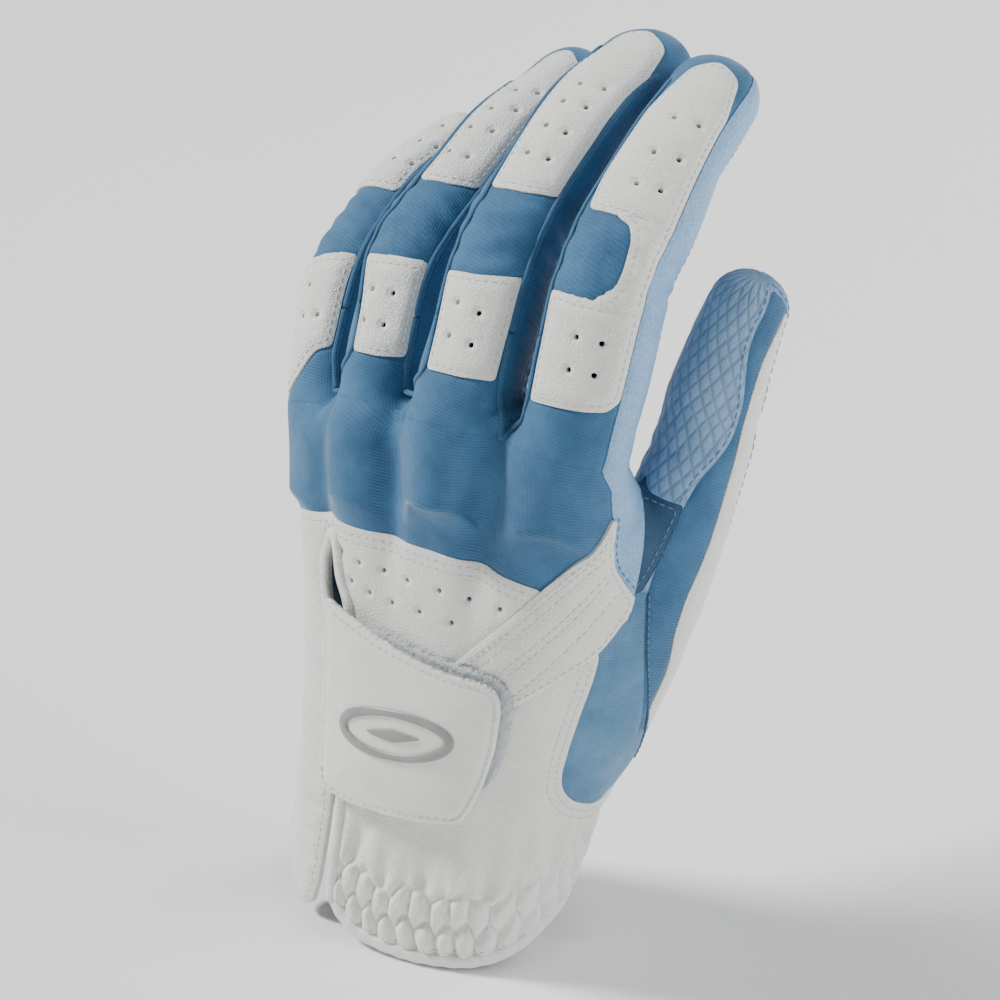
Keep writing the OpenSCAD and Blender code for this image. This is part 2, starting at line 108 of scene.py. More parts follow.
class Tube:
    """A bent tube: samples of its middle line with frames and radii."""

    def __init__(self, S, C, X, N, T, W, H, end, cap, power):
        self.S, self.C, self.X, self.N, self.T, self.W, self.H = S, C, X, N, T, W, H
        self.end, self.cap, self.power = end, cap, power

    def at(self, s, a, o=0.0):
        """Point at station s, angle a in degrees, outset o."""
        s, a = np.broadcast_arrays(np.asarray(s, float), np.asarray(a, float))
        g = lambda A: np.stack([np.interp(s, self.S, A[:, k]) for k in range(3)], -1)
        q = np.clip((s - (self.end - self.cap)) / self.cap, 0, 0.999)
        k = (1 - q ** self.power) ** (1 / 2.0)
        r = np.radians(a)
        w, h = np.interp(s, self.S, self.W) * k + o, np.interp(s, self.S, self.H) * k + o
        return g(self.C) + (w * np.sin(r))[..., None] * g(self.X) + (h * np.cos(r))[..., None] * g(self.N)

    def coords(self, P):
        """Station, angle and rough signed distance of points."""
        s, a, f = np.empty(len(P)), np.empty(len(P)), np.empty(len(P))
        for b in range(0, len(P), 40000):
            p = P[b:b + 40000]
            i = ((p * p).sum(1)[:, None] - 2 * p @ self.C.T + (self.C * self.C).sum(1)).argmin(1)
            d = p - self.C[i]
            ds = (d * self.T[i]).sum(1)
            ss_ = self.S[i] + ds
            x, n = (d * self.X[i]).sum(1), (d * self.N[i]).sum(1)
            w, h = np.interp(ss_, self.S, self.W), np.interp(ss_, self.S, self.H)
            r = np.sqrt((x / w) ** 2 + (n / h) ** 2)
            q = np.maximum((ss_ - (self.end - self.cap)) / self.cap, 0)
            R = (r ** self.power + q ** self.power) ** (1 / self.power)
            ln = np.sqrt(x * x + n * n + (q * self.cap) ** 2) + 1e-6
            s[b:b + 40000] = ss_
            a[b:b + 40000] = np.degrees(np.arctan2(x / w, n / h))
            f[b:b + 40000] = np.maximum(ln - ln / np.maximum(R, 1e-3), self.S[0] - ss_)
        return s, a, f


def finger_tube(name):
    splay, yaw, lean, mid, end, L, W = FINGERS[name]
    total = sum(L)
    S = np.arange(-22, total + 0.4, 0.7)
    phi = np.radians(lean + mid * smooth((S - (L[0] - 7)) / 14) + end * smooth((S - (L[0] + L[1] - 7)) / 14))
    sp, yw = math.radians(splay), math.radians(yaw)
    Xf, Yf, Zf = np.array([math.cos(sp), 0, -math.sin(sp)]), np.array([0, 1.0, 0]), np.array([math.sin(sp),
            0, math.cos(sp)])
    X = math.cos(yw) * Xf + math.sin(yw) * Yf
    Y = -math.sin(yw) * Xf + math.cos(yw) * Yf
    T = np.sin(phi)[:, None] * Y + np.cos(phi)[:, None] * Zf
    N = -(np.cos(phi)[:, None] * Y - np.sin(phi)[:, None] * Zf)
    C = np.zeros((len(S), 3))
    C[1:] = np.cumsum((T[1:] + T[:-1]) / 2 * 0.7, 0)
    C += joint_point(name + "_root_fold") - np.array([np.interp(0, S, C[:, k]) for k in range(3)])
    w = np.interp(S / total, [0, 0.45, 0.85, 1], [W[0], W[1], W[2], W[2]])
    # a little flesh: fuller at the middle fold, finer at the root inside the hand
    w = w * (1 + 0.02 * np.exp(-((S - L[0]) / 6) ** 2)) * (1 - 0.45 * smooth((-5 - S) / 18))
    return Tube(S, C, np.tile(X, (len(S), 1)), N, T, w, 0.9 * w, total, W[2], 2.4)


def spline(V, t):
    """Catmull-Rom through the rows of V."""
    t = np.clip(np.asarray(t, float), 0, len(V) - 1)
    i = np.minimum(np.floor(t).astype(int), len(V) - 2)
    u = (t - i).reshape(t.shape + (1,) * (V.ndim - 1))
    g = lambda k: V[np.clip(k, 0, len(V) - 1)]
    a, b, c, d = g(i - 1), g(i), g(i + 1), g(i + 2)
    return 0.5 * (2 * b + u * (c - a) + u * u * (2 * a - 5 * b + 4 * c - d) + u ** 3
                  * (3 * b - a - 3 * c + d))


def thumb_tube():
    t = np.linspace(0, 8, 140)
    C = spline(THUMB_LINE, t)
    T = unit(np.gradient(C, axis=0))
    C = np.vstack([C, C[-1] + T[-1] * np.arange(0.7, 7.6, 0.7)[:, None]])
    k = len(C) - len(t)
    T = np.vstack([T, np.repeat(T[-1:], k, 0)])
    t = np.concatenate([t, 8 + np.arange(0.7, 7.6, 0.7) / 7.2])
    n = np.array([0.85, -0.5, 0])
    N = unit(n - (T @ n)[:, None] * T)
    X = np.cross(T, N)
    r = spline(THUMB_R, t)
    S = np.concatenate([[0], np.cumsum(np.linalg.norm(np.diff(C, axis=0), axis=1))])
    tube = Tube(S, C, X, N, T, r, 0.92 * r, S[139] + 7.2, 7.2, 2.2)
    tube.station = lambda q: np.interp(q, t, S)  # millimetres along, from the station number
    return tube


TUBES = [finger_tube(n) for n in NAMES] + [thumb_tube()]
THUMB = TUBES[4]


def hand_at(z, th, o=0.0):
    z, th = np.broadcast_arrays(np.asarray(z, float), np.asarray(th, float))
    c, s = np.cos(np.radians(th)), np.sin(np.radians(th))
    return np.stack([
        rows(z, HAND, 1) + (rows(z, HAND, 2) + o) * np.sign(c) * np.abs(c) ** (2 / POW),
        rows(z, HAND, 3) + (rows(z, HAND, 4) + o) * np.sign(s) * np.abs(s) ** (2 / POW), z], -1)


def hand_coords(P):
    z = P[:, 2]
    dx, dy = P[:, 0] - rows(z, HAND, 1), P[:, 1] - rows(z, HAND, 3)
    a, b = rows(z, HAND, 2), rows(z, HAND, 4)
    u, v = np.abs(dx / a), np.abs(dy / b)
    r = (u ** POW + v ** POW) ** (1 / POW)
    ln = np.hypot(dx, dy) + 1e-6
    th = np.degrees(np.arctan2(np.sign(dy) * v ** (POW / 2), np.sign(dx) * u ** (POW / 2))) % 360
    return z, th, ln - ln / np.maximum(r, 1e-3)


CROTCH = np.array([[-45, 98], [-36, 98], [-21, 103], [-10, 106], [-0.5, 110], [9, 109], [21, 113.5],
                   [32, 106], [50, 100]], float)


def smin(a, b, k):
    h = np.maximum(k - np.abs(a - b), 0) / k
    return np.minimum(a, b) - h * h * k / 4


def smax(a, b, k):
    return -smin(-a, -b, k)


def grid_field():
    """The glove's rough signed distance on a grid, smoothly joined."""
    lo, hi = np.array([-45.0, -28, -14]), np.array([64.0, 68, 174])
    n = np.ceil((hi - lo) / GRID).astype(int)
    ax = [lo[k] + GRID * np.arange(n[k]) for k in range(3)]
    X, Y, Z = np.meshgrid(*ax, indexing="ij")
    shape = X.shape
    P = np.stack([X.ravel(), Y.ravel(), Z.ravel()], -1)
    # the hand; far above it nothing is needed
    f = np.full(len(P), 30.0)
    low = P[:, 2] < 116
    p = P[low]
    g = hand_coords(p)[2]
    top = np.interp(p[:, 0], CROTCH[:, 0], CROTCH[:, 1])
    f[low] = smax(g, p[:, 2] - top, 6)
    hand = f
    fs = []
    for tube in TUBES[:4]:
        a, b = tube.C.min(0) - 16, tube.C.max(0) + 16
        m = ((P > a) & (P < b)).all(1)
        v = np.full(len(P), 30.0)
        v[m] = tube.coords(P[m])[2]
        fs.append(v)
    # neighbours keep a narrow gap above the crotch between them
    zc = [113.5, 110, 103]
    sep = [v.copy() for v in fs]
    for i in range(3):
        a, b = fs[i], fs[i + 1]
        near = (np.abs(a) < 12) & (np.abs(b) < 12)
        gap = np.minimum(0.75, 0.75 - (zc[i] + 1.5 - P[near, 2]) * 0.5)
        sep[i][near] = smax(sep[i][near], (a[near] - b[near]) / 2 + gap, 1.5)
        sep[i + 1][near] = smax(sep[i + 1][near], (b[near] - a[near]) / 2 + gap, 1.5)
    fingers = np.minimum.reduce(sep)
    f = smin(hand, fingers, 7)
    # above the crotches the smooth join must not fill the gaps again
    up = smooth((P[:, 2] - np.interp(P[:, 0], CROTCH[:, 0], CROTCH[:, 1]) - 2) / 5)
    f = f * (1 - up) + np.minimum(hand, fingers) * up
    m = ((P > THUMB.C.min(0) - 18) & (P < THUMB.C.max(0) + 18)).all(1)
    t = np.full(len(P), 30.0)
    t[m] = THUMB.coords(P[m])[2]
    web = 4 + 8 * smooth((100 - P[:, 2]) / 20) * (0.25 + 0.75 * smooth((P[:, 2] - 20) / 32))
    f = smin(f, t, web)
    return f.reshape(shape).astype(np.float32), lo


def surface_net(G, lo, h):
    ins = G < 0
    n = np.array(G.shape) - 1
    corners = [(i, j, k) for i in (0, 1) for j in (0, 1) for k in (0, 1)]
    cut = lambda A, c: A[c[0]:c[0] + n[0], c[1]:c[1] + n[1], c[2]:c[2] + n[2]]
    cnt = sum(cut(ins, c).astype(np.uint8) for c in corners)
    mask = (cnt > 0) & (cnt < 8)
    cell = np.argwhere(mask)
    idx = -np.ones(mask.shape, np.int64)
    idx[mask] = np.arange(len(cell))
    val = {c: cut(G, c)[mask] for c in corners}
    acc, num = np.zeros((len(cell), 3)), np.zeros(len(cell))
    for c in corners:
        for k in range(3):
            if c[k] == 0:
                d = list(c)
                d[k] = 1
                a, b = val[c], val[tuple(d)]
                x = (a < 0) != (b < 0)
                t = a[x] / (a[x] - b[x])
                p = np.tile(np.array(c, float), (x.sum(), 1))
                p[:, k] = t
                acc[x] += p
                num[x] += 1
    V = lo + h * (cell + acc / num[:, None])
    quads = []
    for k in range(3):
        o = [q for q in range(3) if q != k]
        if k == 1:
            o = [2, 0]
        a = np.moveaxis(ins, k, 0)
        e = np.argwhere(np.moveaxis(a[:-1] != a[1:], 0, k))
        e = e[(e[:, o[0]] > 0) & (e[:, o[1]] > 0) & (e[:, o[0]] < n[o[0]]) & (e[:, o[1]] < n[o[1]])]
        def at(du, dv):
            q = e.copy()
            q[:, o[0]] += du
            q[:, o[1]] += dv
            return idx[q[:, 0], q[:, 1], q[:, 2]]
        q = np.stack([at(-1, -1), at(0, -1), at(0, 0), at(-1, 0)], 1)
        flip = ~ins[e[:, 0], e[:, 1], e[:, 2]]
        q[flip] = q[flip][:, ::-1]
        quads.append(q)
    Q = np.vstack(quads)
    Q = Q[(Q >= 0).all(1)]
    d0 = np.linalg.norm(V[Q[:, 0]] - V[Q[:, 2]], axis=1)
    d1 = np.linalg.norm(V[Q[:, 1]] - V[Q[:, 3]], axis=1)
    s = d0 <= d1
    T = np.vstack([Q[s][:, [0, 1, 2]], Q[s][:, [0, 2, 3]], Q[~s][:, [0, 1, 3]], Q[~s][:, [1, 2, 3]]])
    return V, T


def sample(G, lo, h, P):
    q = (P - lo) / h
    i = np.clip(np.floor(q).astype(int), 0, np.array(G.shape) - 2)
    t = q - i
    out = 0
    for c in [(a, b, d) for a in (0, 1) for b in (0, 1) for d in (0, 1)]:
        w = np.prod([t[:, k] if c[k] else 1 - t[:, k] for k in range(3)], axis=0)
        out = out + w * G[i[:, 0] + c[0], i[:, 1] + c[1], i[:, 2] + c[2]]
    return out


def normals(V, T):
    n = np.cross(V[T[:, 1]] - V[T[:, 0]], V[T[:, 2]] - V[T[:, 0]])
    out = np.stack([sum(np.bincount(T[:, k], n[:, d], len(V)) for k in range(3)) for d in range(3)], 1)
    return unit(out)


def relax(V, T, times, amount=0.5, keep=None):
    E = np.vstack([T[:, [0, 1]], T[:, [1, 2]], T[:, [2, 0]]])
    E = np.unique(np.sort(E, 1), axis=0)
    deg = np.bincount(E.ravel(), minlength=len(V))
    for _ in range(times):
        m = np.stack([np.bincount(E[:, 0], V[E[:, 1], d], len(V))
                      + np.bincount(E[:, 1], V[E[:, 0], d], len(V))
                      for d in range(3)], 1) / np.maximum(deg, 1)[:, None]
        W = V + (m - V) * amount
        if keep is not None:
            W[keep] = V[keep]
        V = W
    return V


def master():
    G, lo = grid_field()
    V, T = surface_net(G, lo, GRID)
    for _ in range(3):
        V = relax(V, T, 2, 0.6)
        e = 0.4
        g = np.stack([sample(G, lo, GRID, V + e * np.eye(3)[k]) - sample(G, lo, GRID, V - e * np.eye(3)[k])
                      for k in range(3)], 1) / (2 * e)
        d = sample(G, lo, GRID, V)
        V = V - g * (d / np.maximum((g * g).sum(1), 0.2))[:, None]
    return relax(V, T, 3, 0.5), T


# ------------------------------------------------------------------ a point's row of facts
# 0-2 place, 3-5 normal, 6 hand angle, 7 hand distance,
# then for each tube its distance, station and angle, and 23 on a seam
HAND_A, HAND_F, TUBE_F, TUBE_S, TUBE_A, ON = 6, 7, 8, 13, 18, 23
ANGLES = [HAND_A] + [TUBE_A + k for k in range(5)]
AB = 12.0  # where a finger's lower length is cut from its end
THUMB_CUT = THUMB.station(4.32)


def measure(V, N):
    A = np.zeros((len(V), 24))
    A[:, :3], A[:, 3:6] = V, N
    _, A[:, HAND_A], A[:, HAND_F] = hand_coords(V)
    for k, tube in enumerate(TUBES):
        A[:, TUBE_S + k], A[:, TUBE_A + k], A[:, TUBE_F + k] = tube.coords(V)
    return A


def mix(a, b, t):
    t = np.broadcast_to(np.asarray(t, float), (len(a),))[:, None]
    out = a + (b - a) * t
    out[:, ANGLES] = a[:, ANGLES] + ((b[:, ANGLES] - a[:, ANGLES] + 180) % 360 - 180) * t
    return out


def edges_of(T, n):
    e = np.sort(np.vstack([T[:, [0, 1]], T[:, [1, 2]], T[:, [2, 0]]]), 1).astype(np.int64)
    key, back = np.unique(e[:, 0] * n + e[:, 1], return_inverse=True)
    return np.stack([key // n, key % n], 1), back.reshape(3, -1).T


def divide(T, edge, new):
    """Splits triangles at the new points of their edges (-1 where an edge has none)."""
    N = new[edge]
    n = (N >= 0).sum(1)
    def turned(m, first):
        i = np.flatnonzero(m)
        col = (first[i][:, None] + np.arange(3)) % 3
        return T[i[:, None], col].T, N[i[:, None], col].T
    out = [T[n == 0]]
    t, e = turned(n == 1, (N >= 0).argmax(1))
    out += [np.stack(q, 1) for q in ((t[0], e[0], t[2]), (e[0], t[1], t[2]))]
    t, e = turned(n == 2, ((N < 0).argmax(1) + 2) % 3)
    out += [np.stack(q, 1) for q in ((t[0], e[0], e[2]), (e[0], t[1], t[2]), (e[0], t[2], e[2]))]
    t, e = turned(n == 3, np.zeros(len(T), int))
    out += [np.stack(q, 1) for q in ((t[0], e[0], e[2]), (e[0], t[1], e[1]), (e[2], e[1], t[2]),
                                     (e[0], e[1], e[2]))]
    return np.vstack(out)


def score(A, T, f, near, snap=0.15):
    """Adds points where the field f is zero, among the points marked near."""
    sub = near[T].any(1)
    E, edge = edges_of(T[sub], len(A))
    A, f = A.copy(), f.copy()
    both = near[E[:, 0]] & near[E[:, 1]]
    x = (f[E[:, 0]] * f[E[:, 1]] < 0) & both
    t = np.where(x, f[E[:, 0]] / np.where(x, f[E[:, 0]] - f[E[:, 1]], 1), 0.5)
    old = A.copy()
    for end, m in ((0, x & (t < snap)), (1, x & (t > 1 - snap))):
        k = np.flatnonzero(m)
        k = k[old[E[k, end], ON] < 0.5]
        v, first = np.unique(E[k, end], return_index=True)
        k = k[first]
        A[v] = mix(old[E[k, 0]], old[E[k, 1]], t[k])
        A[v, ON] = 1
        f[v] = 0
    k = np.flatnonzero((f[E[:, 0]] * f[E[:, 1]] < 0) & both)
    new = -np.ones(len(E), int)
    new[k] = len(A) + np.arange(len(k))
    fa, fb = f[E[k, 0]], f[E[k, 1]]
    p = mix(A[E[k, 0]], A[E[k, 1]], fa / (fa - fb))
    p[:, ON] = 1
    return np.vstack([A, p]), np.vstack([T[~sub], divide(T[sub], edge, new)])


def refine(A, T, where):
    """Splits the marked triangles in four, with new points on the curved surface."""
    touch = np.zeros(len(A), bool)
    touch[T[where].ravel()] = True
    sub = touch[T].any(1)
    E, edge = edges_of(T[sub], len(A))
    m = np.zeros(len(E), bool)
    m[edge[where[sub]].ravel()] = True
    k = np.flatnonzero(m)
    a, b = A[E[k, 0]], A[E[k, 1]]
    p = mix(a, b, 0.5)
    d = b[:, :3] - a[:, :3]
    na, nb = a[:, 3:6], b[:, 3:6]
    p[:, :3] += (nb * (d * nb).sum(1)[:, None] - na * (d * na).sum(1)[:, None]) / 8
    p[:, 3:6] = unit(p[:, 3:6])
    p[:, ON] = ((a[:, ON] > 0.5) & (b[:, ON] > 0.5)).astype(float)
    new = -np.ones(len(E), int)
    new[k] = len(A) + np.arange(len(k))
    return np.vstack([A, p]), np.vstack([T[~sub], divide(T[sub], edge, new)])


def middles(A, T):
    return mix(mix(A[T[:, 0]], A[T[:, 1]], 0.5), A[T[:, 2]], 1 / 3)


# ------------------------------------------------------------------ flat coordinates and outlines
_th = np.arange(0, 361.0)
_ring = hand_at(np.full(361, 50.0), _th)
_arc = np.concatenate([[0], np.cumsum(np.linalg.norm(np.diff(_ring, axis=0), axis=1))])


def arc(th):
    """Millimetres round the hand for an angle, unwrapped."""
    return np.floor(np.asarray(th) / 360) * _arc[-1] + np.interp(np.asarray(th) % 360, _th, _arc)


def turn(a, middle):
    """Angles unwrapped to lie within 180 of middle."""
    return (a - middle + 180) % 360 - 180 + middle


def rounded(points, r):
    """A closed outline with its corners rounded off by about r."""
    p = np.array(points, float)
    out = []
    for i in range(len(p)):
        a, b, c = p[i - 1], p[i], p[(i + 1) % len(p)]
        u = b + (a - b) * min(r / np.linalg.norm(a - b), 0.48)
        v = b + (c - b) * min(r / np.linalg.norm(c - b), 0.48)
        for t in (0, 0.25, 0.5, 0.75, 1):
            out.append(u * (1 - t) ** 2 + 2 * b * t * (1 - t) + v * t * t)
    return np.array(out)


def outline_distance(x, y, points):
    """Signed distance to a closed outline, negative inside."""
    best = np.full(len(x), 1e9)
    inside = np.zeros(len(x), bool)
    for a, b in zip(points, np.roll(points, -1, 0)):
        e = b - a
        l = max((e * e).sum(), 1e-12)
        t = np.clip(((x - a[0]) * e[0] + (y - a[1]) * e[1]) / l, 0, 1)
        best = np.minimum(best, (x - a[0] - t * e[0]) ** 2 + (y - a[1] - t * e[1]) ** 2)
        c = (a[1] > y) != (b[1] > y)
        inside ^= c & (x < (b[0] - a[0]) * (y - a[1]) / np.where(b[1] == a[1], 1, b[1] - a[1]) + a[0])
    return np.where(inside, -1, 1) * np.sqrt(best)


class Outline:
    """A panel's outline in angle and height on the hand (which=-1), or angle and station on a tube."""

    def __init__(self, points, r=3.0, which=-1, scale=1.0, middle=None):
        self.which, self.scale = which, scale
        p = np.array(points, float)
        self.middle = (p[:, 0].min() + p[:, 0].max()) / 2 if middle is None else middle
        self.p = rounded(np.stack([self.flat(p[:, 0]), p[:, 1]], 1), r)

    def flat(self, a):
        return arc(a) if self.which < 0 else np.asarray(a) * self.scale

    def __call__(self, A):
        a = turn(A[:, HAND_A if self.which < 0 else TUBE_A + self.which], self.middle)
        y = A[:, 2] if self.which < 0 or self.which == 4 else A[:, TUBE_S + self.which]
        x = self.flat(a)
        out = np.full(len(A), 30.0)
        lo, hi = self.p.min(0) - 5, self.p.max(0) + 5
        m = (x > lo[0]) & (x < hi[0]) & (y > lo[1]) & (y < hi[1])
        out[m] = outline_distance(x[m], y[m], self.p)
        return out


def line(table, x):
    t = np.array(table, float)
    return np.interp(x, t[:, 0], t[:, 1])


HEM = [(240, 12), (250, 8), (255, 5.6), (260, 3), (266, 1.2), (275, 0.3), (287, 0), (310, 0.4), (327, 1.6),
       (340, 3.4), (354, 5.6),
       (364, 7.4), (376, 8.6), (400, 9.8), (430, 10.2), (540, 10.8), (560, 13), (568, 15)]
SHIR_TOP = [(240, 17.5), (256, 16), (273, 13.7), (297, 14), (320, 15.5), (346, 19), (364, 20.5), (404, 21.5)]
OUT = {
    "ulnar_flap": Outline([(205.5, 82.3), (205.5, 26), (206.5, 17), (211, 9.5), (218, 4.5), (227, 2),
                           (235, 1.4), (241, 3.2),
                           (244.5, 8), (245.5, 14), (246, 26), (244.3, 56), (240, 64), (235.2, 69),
                           (233, 74), (233, 78), (235, 80.6), (236.5, 86.1)], 1.2),
    "slit": Outline([(233, 79.6), (236.6, 81.2), (240.8, 79.8), (243.4, 74.8), (247.3, 70.6), (248.8, 65),
                     (249.3, 58), (250.5, 40), (251.5, 20), (252.5, 4), (253, -16),
                     (241.5, -16), (243.5, 5), (244.9, 12), (245.3, 26), (243.6, 56), (239, 64),
                     (234.2, 69), (232, 74)], 1.6),
    "yoke": Outline([(229, 85.3), (236.5, 86.1), (256, 86.7), (275, 87.2), (292, 86.2), (303, 85),
                     (315.5, 83.6), (319, 79), (300, 60), (229, 60)], 1.2),
    "diagonal_strap": Outline([(285, 64.5), (287.5, 66), (302, 75.4), (315.5, 83.6), (322, 86.8),
                               (329, 89.8), (339.6, 94.6), (345, 98.6), (348.5, 97.5),
                               (348.5, 92.6), (353, 87.5), (359, 83.6), (365, 79), (358, 73), (352.6, 69.8),
                               (345, 67.6), (333.6, 64.6), (312.4, 58.2),
                               (298, 56), (282, 58)], 1.2),
    "radial_panel": Outline([(346, 68), (350, 69.6), (352.6, 68.4), (352, 62.9), (348.5, 54), (346.2, 48.8),
                             (345.4, 42.2), (348, 38.3), (355, 35), (366, 32),
                             (380, 31), (420, 31), (420, 78), (369, 78), (358, 73.2)], 2.0),
    "palm_edge": Outline([(341.5, 106), (345, 98.8), (348.5, 97.5), (348.5, 92.6), (353, 87.5), (359, 83.6),
                          (365, 79), (371, 80.4), (376, 90), (386, 97), (398, 101),
                          (424, 101), (424, 115), (350, 115)], 2.0),
}
ARM = math.pi / 180  # millimetres of arc per degree per millimetre of radius
PATCH = {  # knuckle patch and tip patch on each finger: angle, station
    "index": ([(-40, 1.2), (20, 2.2), (44, 3), (56, 5.2), (56, 22.3), (-51, 21.3)],
              [(-38, 33), (-4, 32.4), (56, 33), (55, 60), (40, 69), (8, 71), (-22, 68), (-47, 57),
               (-49, 42)]),
    "middle": ([(-25, 2.2), (20, 2.3), (57, 3.2), (56, 22.6), (10, 21), (-38, 20.6)],
               [(-24, 34), (21, 34.5), (56, 36.8), (56, 66), (42, 75), (8, 77.5), (-18, 75), (-34, 64),
                (-30, 50)]),
    "ring": ([(-12, 4), (20, 4), (54, 5), (53, 22.4), (-33, 21.5)],
             [(-14, 34.2), (27, 35.2), (58, 37.8), (57, 63), (42, 72), (8, 75), (-12, 72), (-26, 60),
              (-20, 45)]),
    "little": ([(-46, -4.5), (-20, -3.6), (-1, -1.1), (25, 3.9), (47, 5.1), (55, 21.5), (-13, 20),
                (-46, 19.6)],
               [(-46, 35), (-10, 35), (50, 35.9), (50, 51), (42, 57.5), (8, 60), (-22, 58), (-45, 50)]),
}
BEND = {"index": (22.4, 32.6), "middle": (22.4, 34.5), "ring": (22.3, 34.6), "little": (20.5, 35)}
for i, n in enumerate(NAMES):
    w = FINGERS[n][6][1] * ARM
    OUT[n + "_knuckle_patch"] = Outline(PATCH[n][0], 1.0, i, w)
    OUT[n + "_tip_patch"] = Outline(PATCH[n][1], 1.6, i, w)
OUT["bridge"] = Outline([(3, 21.6), (56, 20), (56, 35), (-12, 34), (-2, 32.3), (14, 31.4), (21, 29.6),
                         (24, 26.6), (23, 24.4), (15, 23)], 0.8, 0,
                        FINGERS["index"][6][1] * ARM)
OUT["side_foot"] = Outline([(58, -6), (60, -8.5), (76, -10.5), (95, -13.5), (104, -17.6), (108, -24),
                            (165, -24), (165, -6)], 1.0, 0,
                           FINGERS["index"][6][1] * ARM)
W_THUMB = 9.6 * ARM
OUT["thumb_edge"] = Outline([(54, 40), (26, 52), (27, 62), (16, 70), (12, 77), (17, 85), (19, 96),
                             (18, 104), (18, 117), (20, 123), (30, 127.5), (40, 131.5),
                             (54, 131)], 2.0, 4, W_THUMB)
OUT["thumb_back"] = Outline([(40, 40), (26, 48), (4, 59), (-16, 70), (-30, 79), (-33, 84), (-31, 90),
                             (-28, 96.8), (-21, 102), (-4, 106), (7, 109.5), (8, 115),
                             (0, 120.5), (-8, 125.5), (-10, 130), (-4, 133.5), (6, 136), (30, 136),
                             (58, 131), (58, 40)], 2.0, 4, W_THUMB)
OUT["thumb_gusset"] = Outline([(-92, 101), (-74, 98.4), (-50, 97.6), (-28, 96.8), (-31, 90), (-33, 84),
                               (-36, 80), (-50, 80), (-92, 87)], 1.0, 4, W_THUMB)
THUMB_LOW = 46.0  # below this height the hand's panels run on over the thumb's base

HOLES = [(-1, *p) for p in ((243.7, 80.5), (252.3, 79.8), (261, 79.6), (269.3, 79.7), (278.6, 79.7),
                            (288, 79), (300.4, 78.7), (249.5, 75.5), (257, 74.5),
                            (265, 73.8), (273.2, 74.2), (283.7, 73.7))]
for i, rows_ in enumerate((
        [(54.3, 0), (47.1, 0), (39.9, -1), (54.8, 29), (47.6, 28), (40.4, 25), (15, -3), (8.9, -3),
         (15, 23), (9.1, 23)],
        [(58, 2), (54.2, 0), (48.9, 0), (42.4, -2), (59, 29), (54.6, 27), (48.7, 24), (42.5, 23),
         (15.3, -6), (9.1, -6), (14.3, 21), (8.4, 22)],
        [(59.6, 4), (53.9, 0), (49, -5), (42.3, -6), (61, 31), (55.4, 29), (49.7, 24), (42.3, 21), (16, -8),
         (10, -9), (16, 21), (9.9, 19)],
        [(41.8, 38), (41.8, 4), (47.6, 6), (47.6, 40), (53.4, 10), (54.4, 46), (10.7, 20), (16, -6),
         (10.4, -8)])):
    HOLES += [(i, a, s) for s, a in rows_]


# ------------------------------------------------------------------ relief of the sewn skin
def waves(P, length, seed, n=9):
    r = np.random.default_rng(seed)
    d = unit(r.normal(size=(n, 3))) * (2 * math.pi / length) * r.uniform(0.6, 1.5, (n, 1))
    return np.sin(P @ d.T + r.uniform(0, 6.28, n)).sum(1) / math.sqrt(n)


def bell(x, w):
    return np.exp(-(x / w) ** 2)


PUFF = 4.3


def puffs(A):
    """Two staggered rows of small gathers above the cuff's hem, and the folds that run up from them."""
    th = turn(A[:, HAND_A], 330)
    z, u = A[:, 2], arc(th)
    hem, top = line(HEM, th) + 2.4, line(SHIR_TOP, th)
    on = smooth((th - 253) / 4) * smooth((408 - th) / 6) * (z < 60)
    top = top + 0.9 * np.sin(u * 0.55) + 0.5 * np.sin(u * 0.23 + 2)
    k = (top - z) / np.maximum(top - hem, 1)  # 0 at the top of the rows, 1 at the binding
    best, second = np.full(len(A), 9.0), np.full(len(A), 9.0)
    slip = 0.22 * np.sin(u * 0.31 + 0.7) + 0.12 * np.sin(u * 0.83)
    for row in range(-1, 4):
        centre = {-1: -0.34, 0: 0.27, 1: 0.8, 2: 1.4, 3: 1.9}[row]
        dy = (k - centre) * (top - hem) / 6.4
        x = (u + (slip + 0.9 * dy * np.sin(u * 0.12 + row) - (1.1 if row else 0.4) * dy
                  * smooth((arc(330) - u) / 30))) / PUFF + 0.5 * (row % 2)
        n = np.floor(x)
        cx = x - n - 0.5
        size = 1 + 0.13 * np.sin(n * 2.7 + row * 1.3)
        for shift in (-1, 0, 1):
            d = (np.abs((cx - shift) * 1.06) ** 1.6 + np.abs(dy * (0.64 if row == 0 else 0.84)
                    / size) ** 1.6) ** (1 / 1.6)
            second = np.minimum(second, np.maximum(best, d))
            best = np.minimum(best, d)
    edge = np.clip((second - best) / 0.5, 0, 1)
    cell = edge ** 0.55 * (0.4 + 0.6 * np.sqrt(np.clip(1 - (best / 0.72) ** 2, 0, 1)))
    rows_on = smooth((k + 0.12) / 0.16) * smooth((1.1 - k) / 0.14)
    up = np.clip(z - top, 0, 60)
    lines_ = np.cos(2 * math.pi * ((u + slip) / PUFF))
    fan = lines_ * np.exp(-up / 3.2) * 0.6
    u2 = u + 2.5 * np.sin(u * 0.16 + 0.5) + (u - arc(296)) * 0.008 * up
    fan = fan + np.cos(2 * math.pi * u2 / 8.6 + 0.8) * 0.55 * np.exp(-up / 10) * smooth(up / 3)
    fan = fan + np.cos(2 * math.pi * u2 / 15 - 0.6) * 0.6 * np.exp(-up / 17) * smooth(up / 7)
    fan = fan * smooth(-k / 0.16)
    return on * (rows_on * (1.75 * cell - 0.95) + 1.25 * fan)


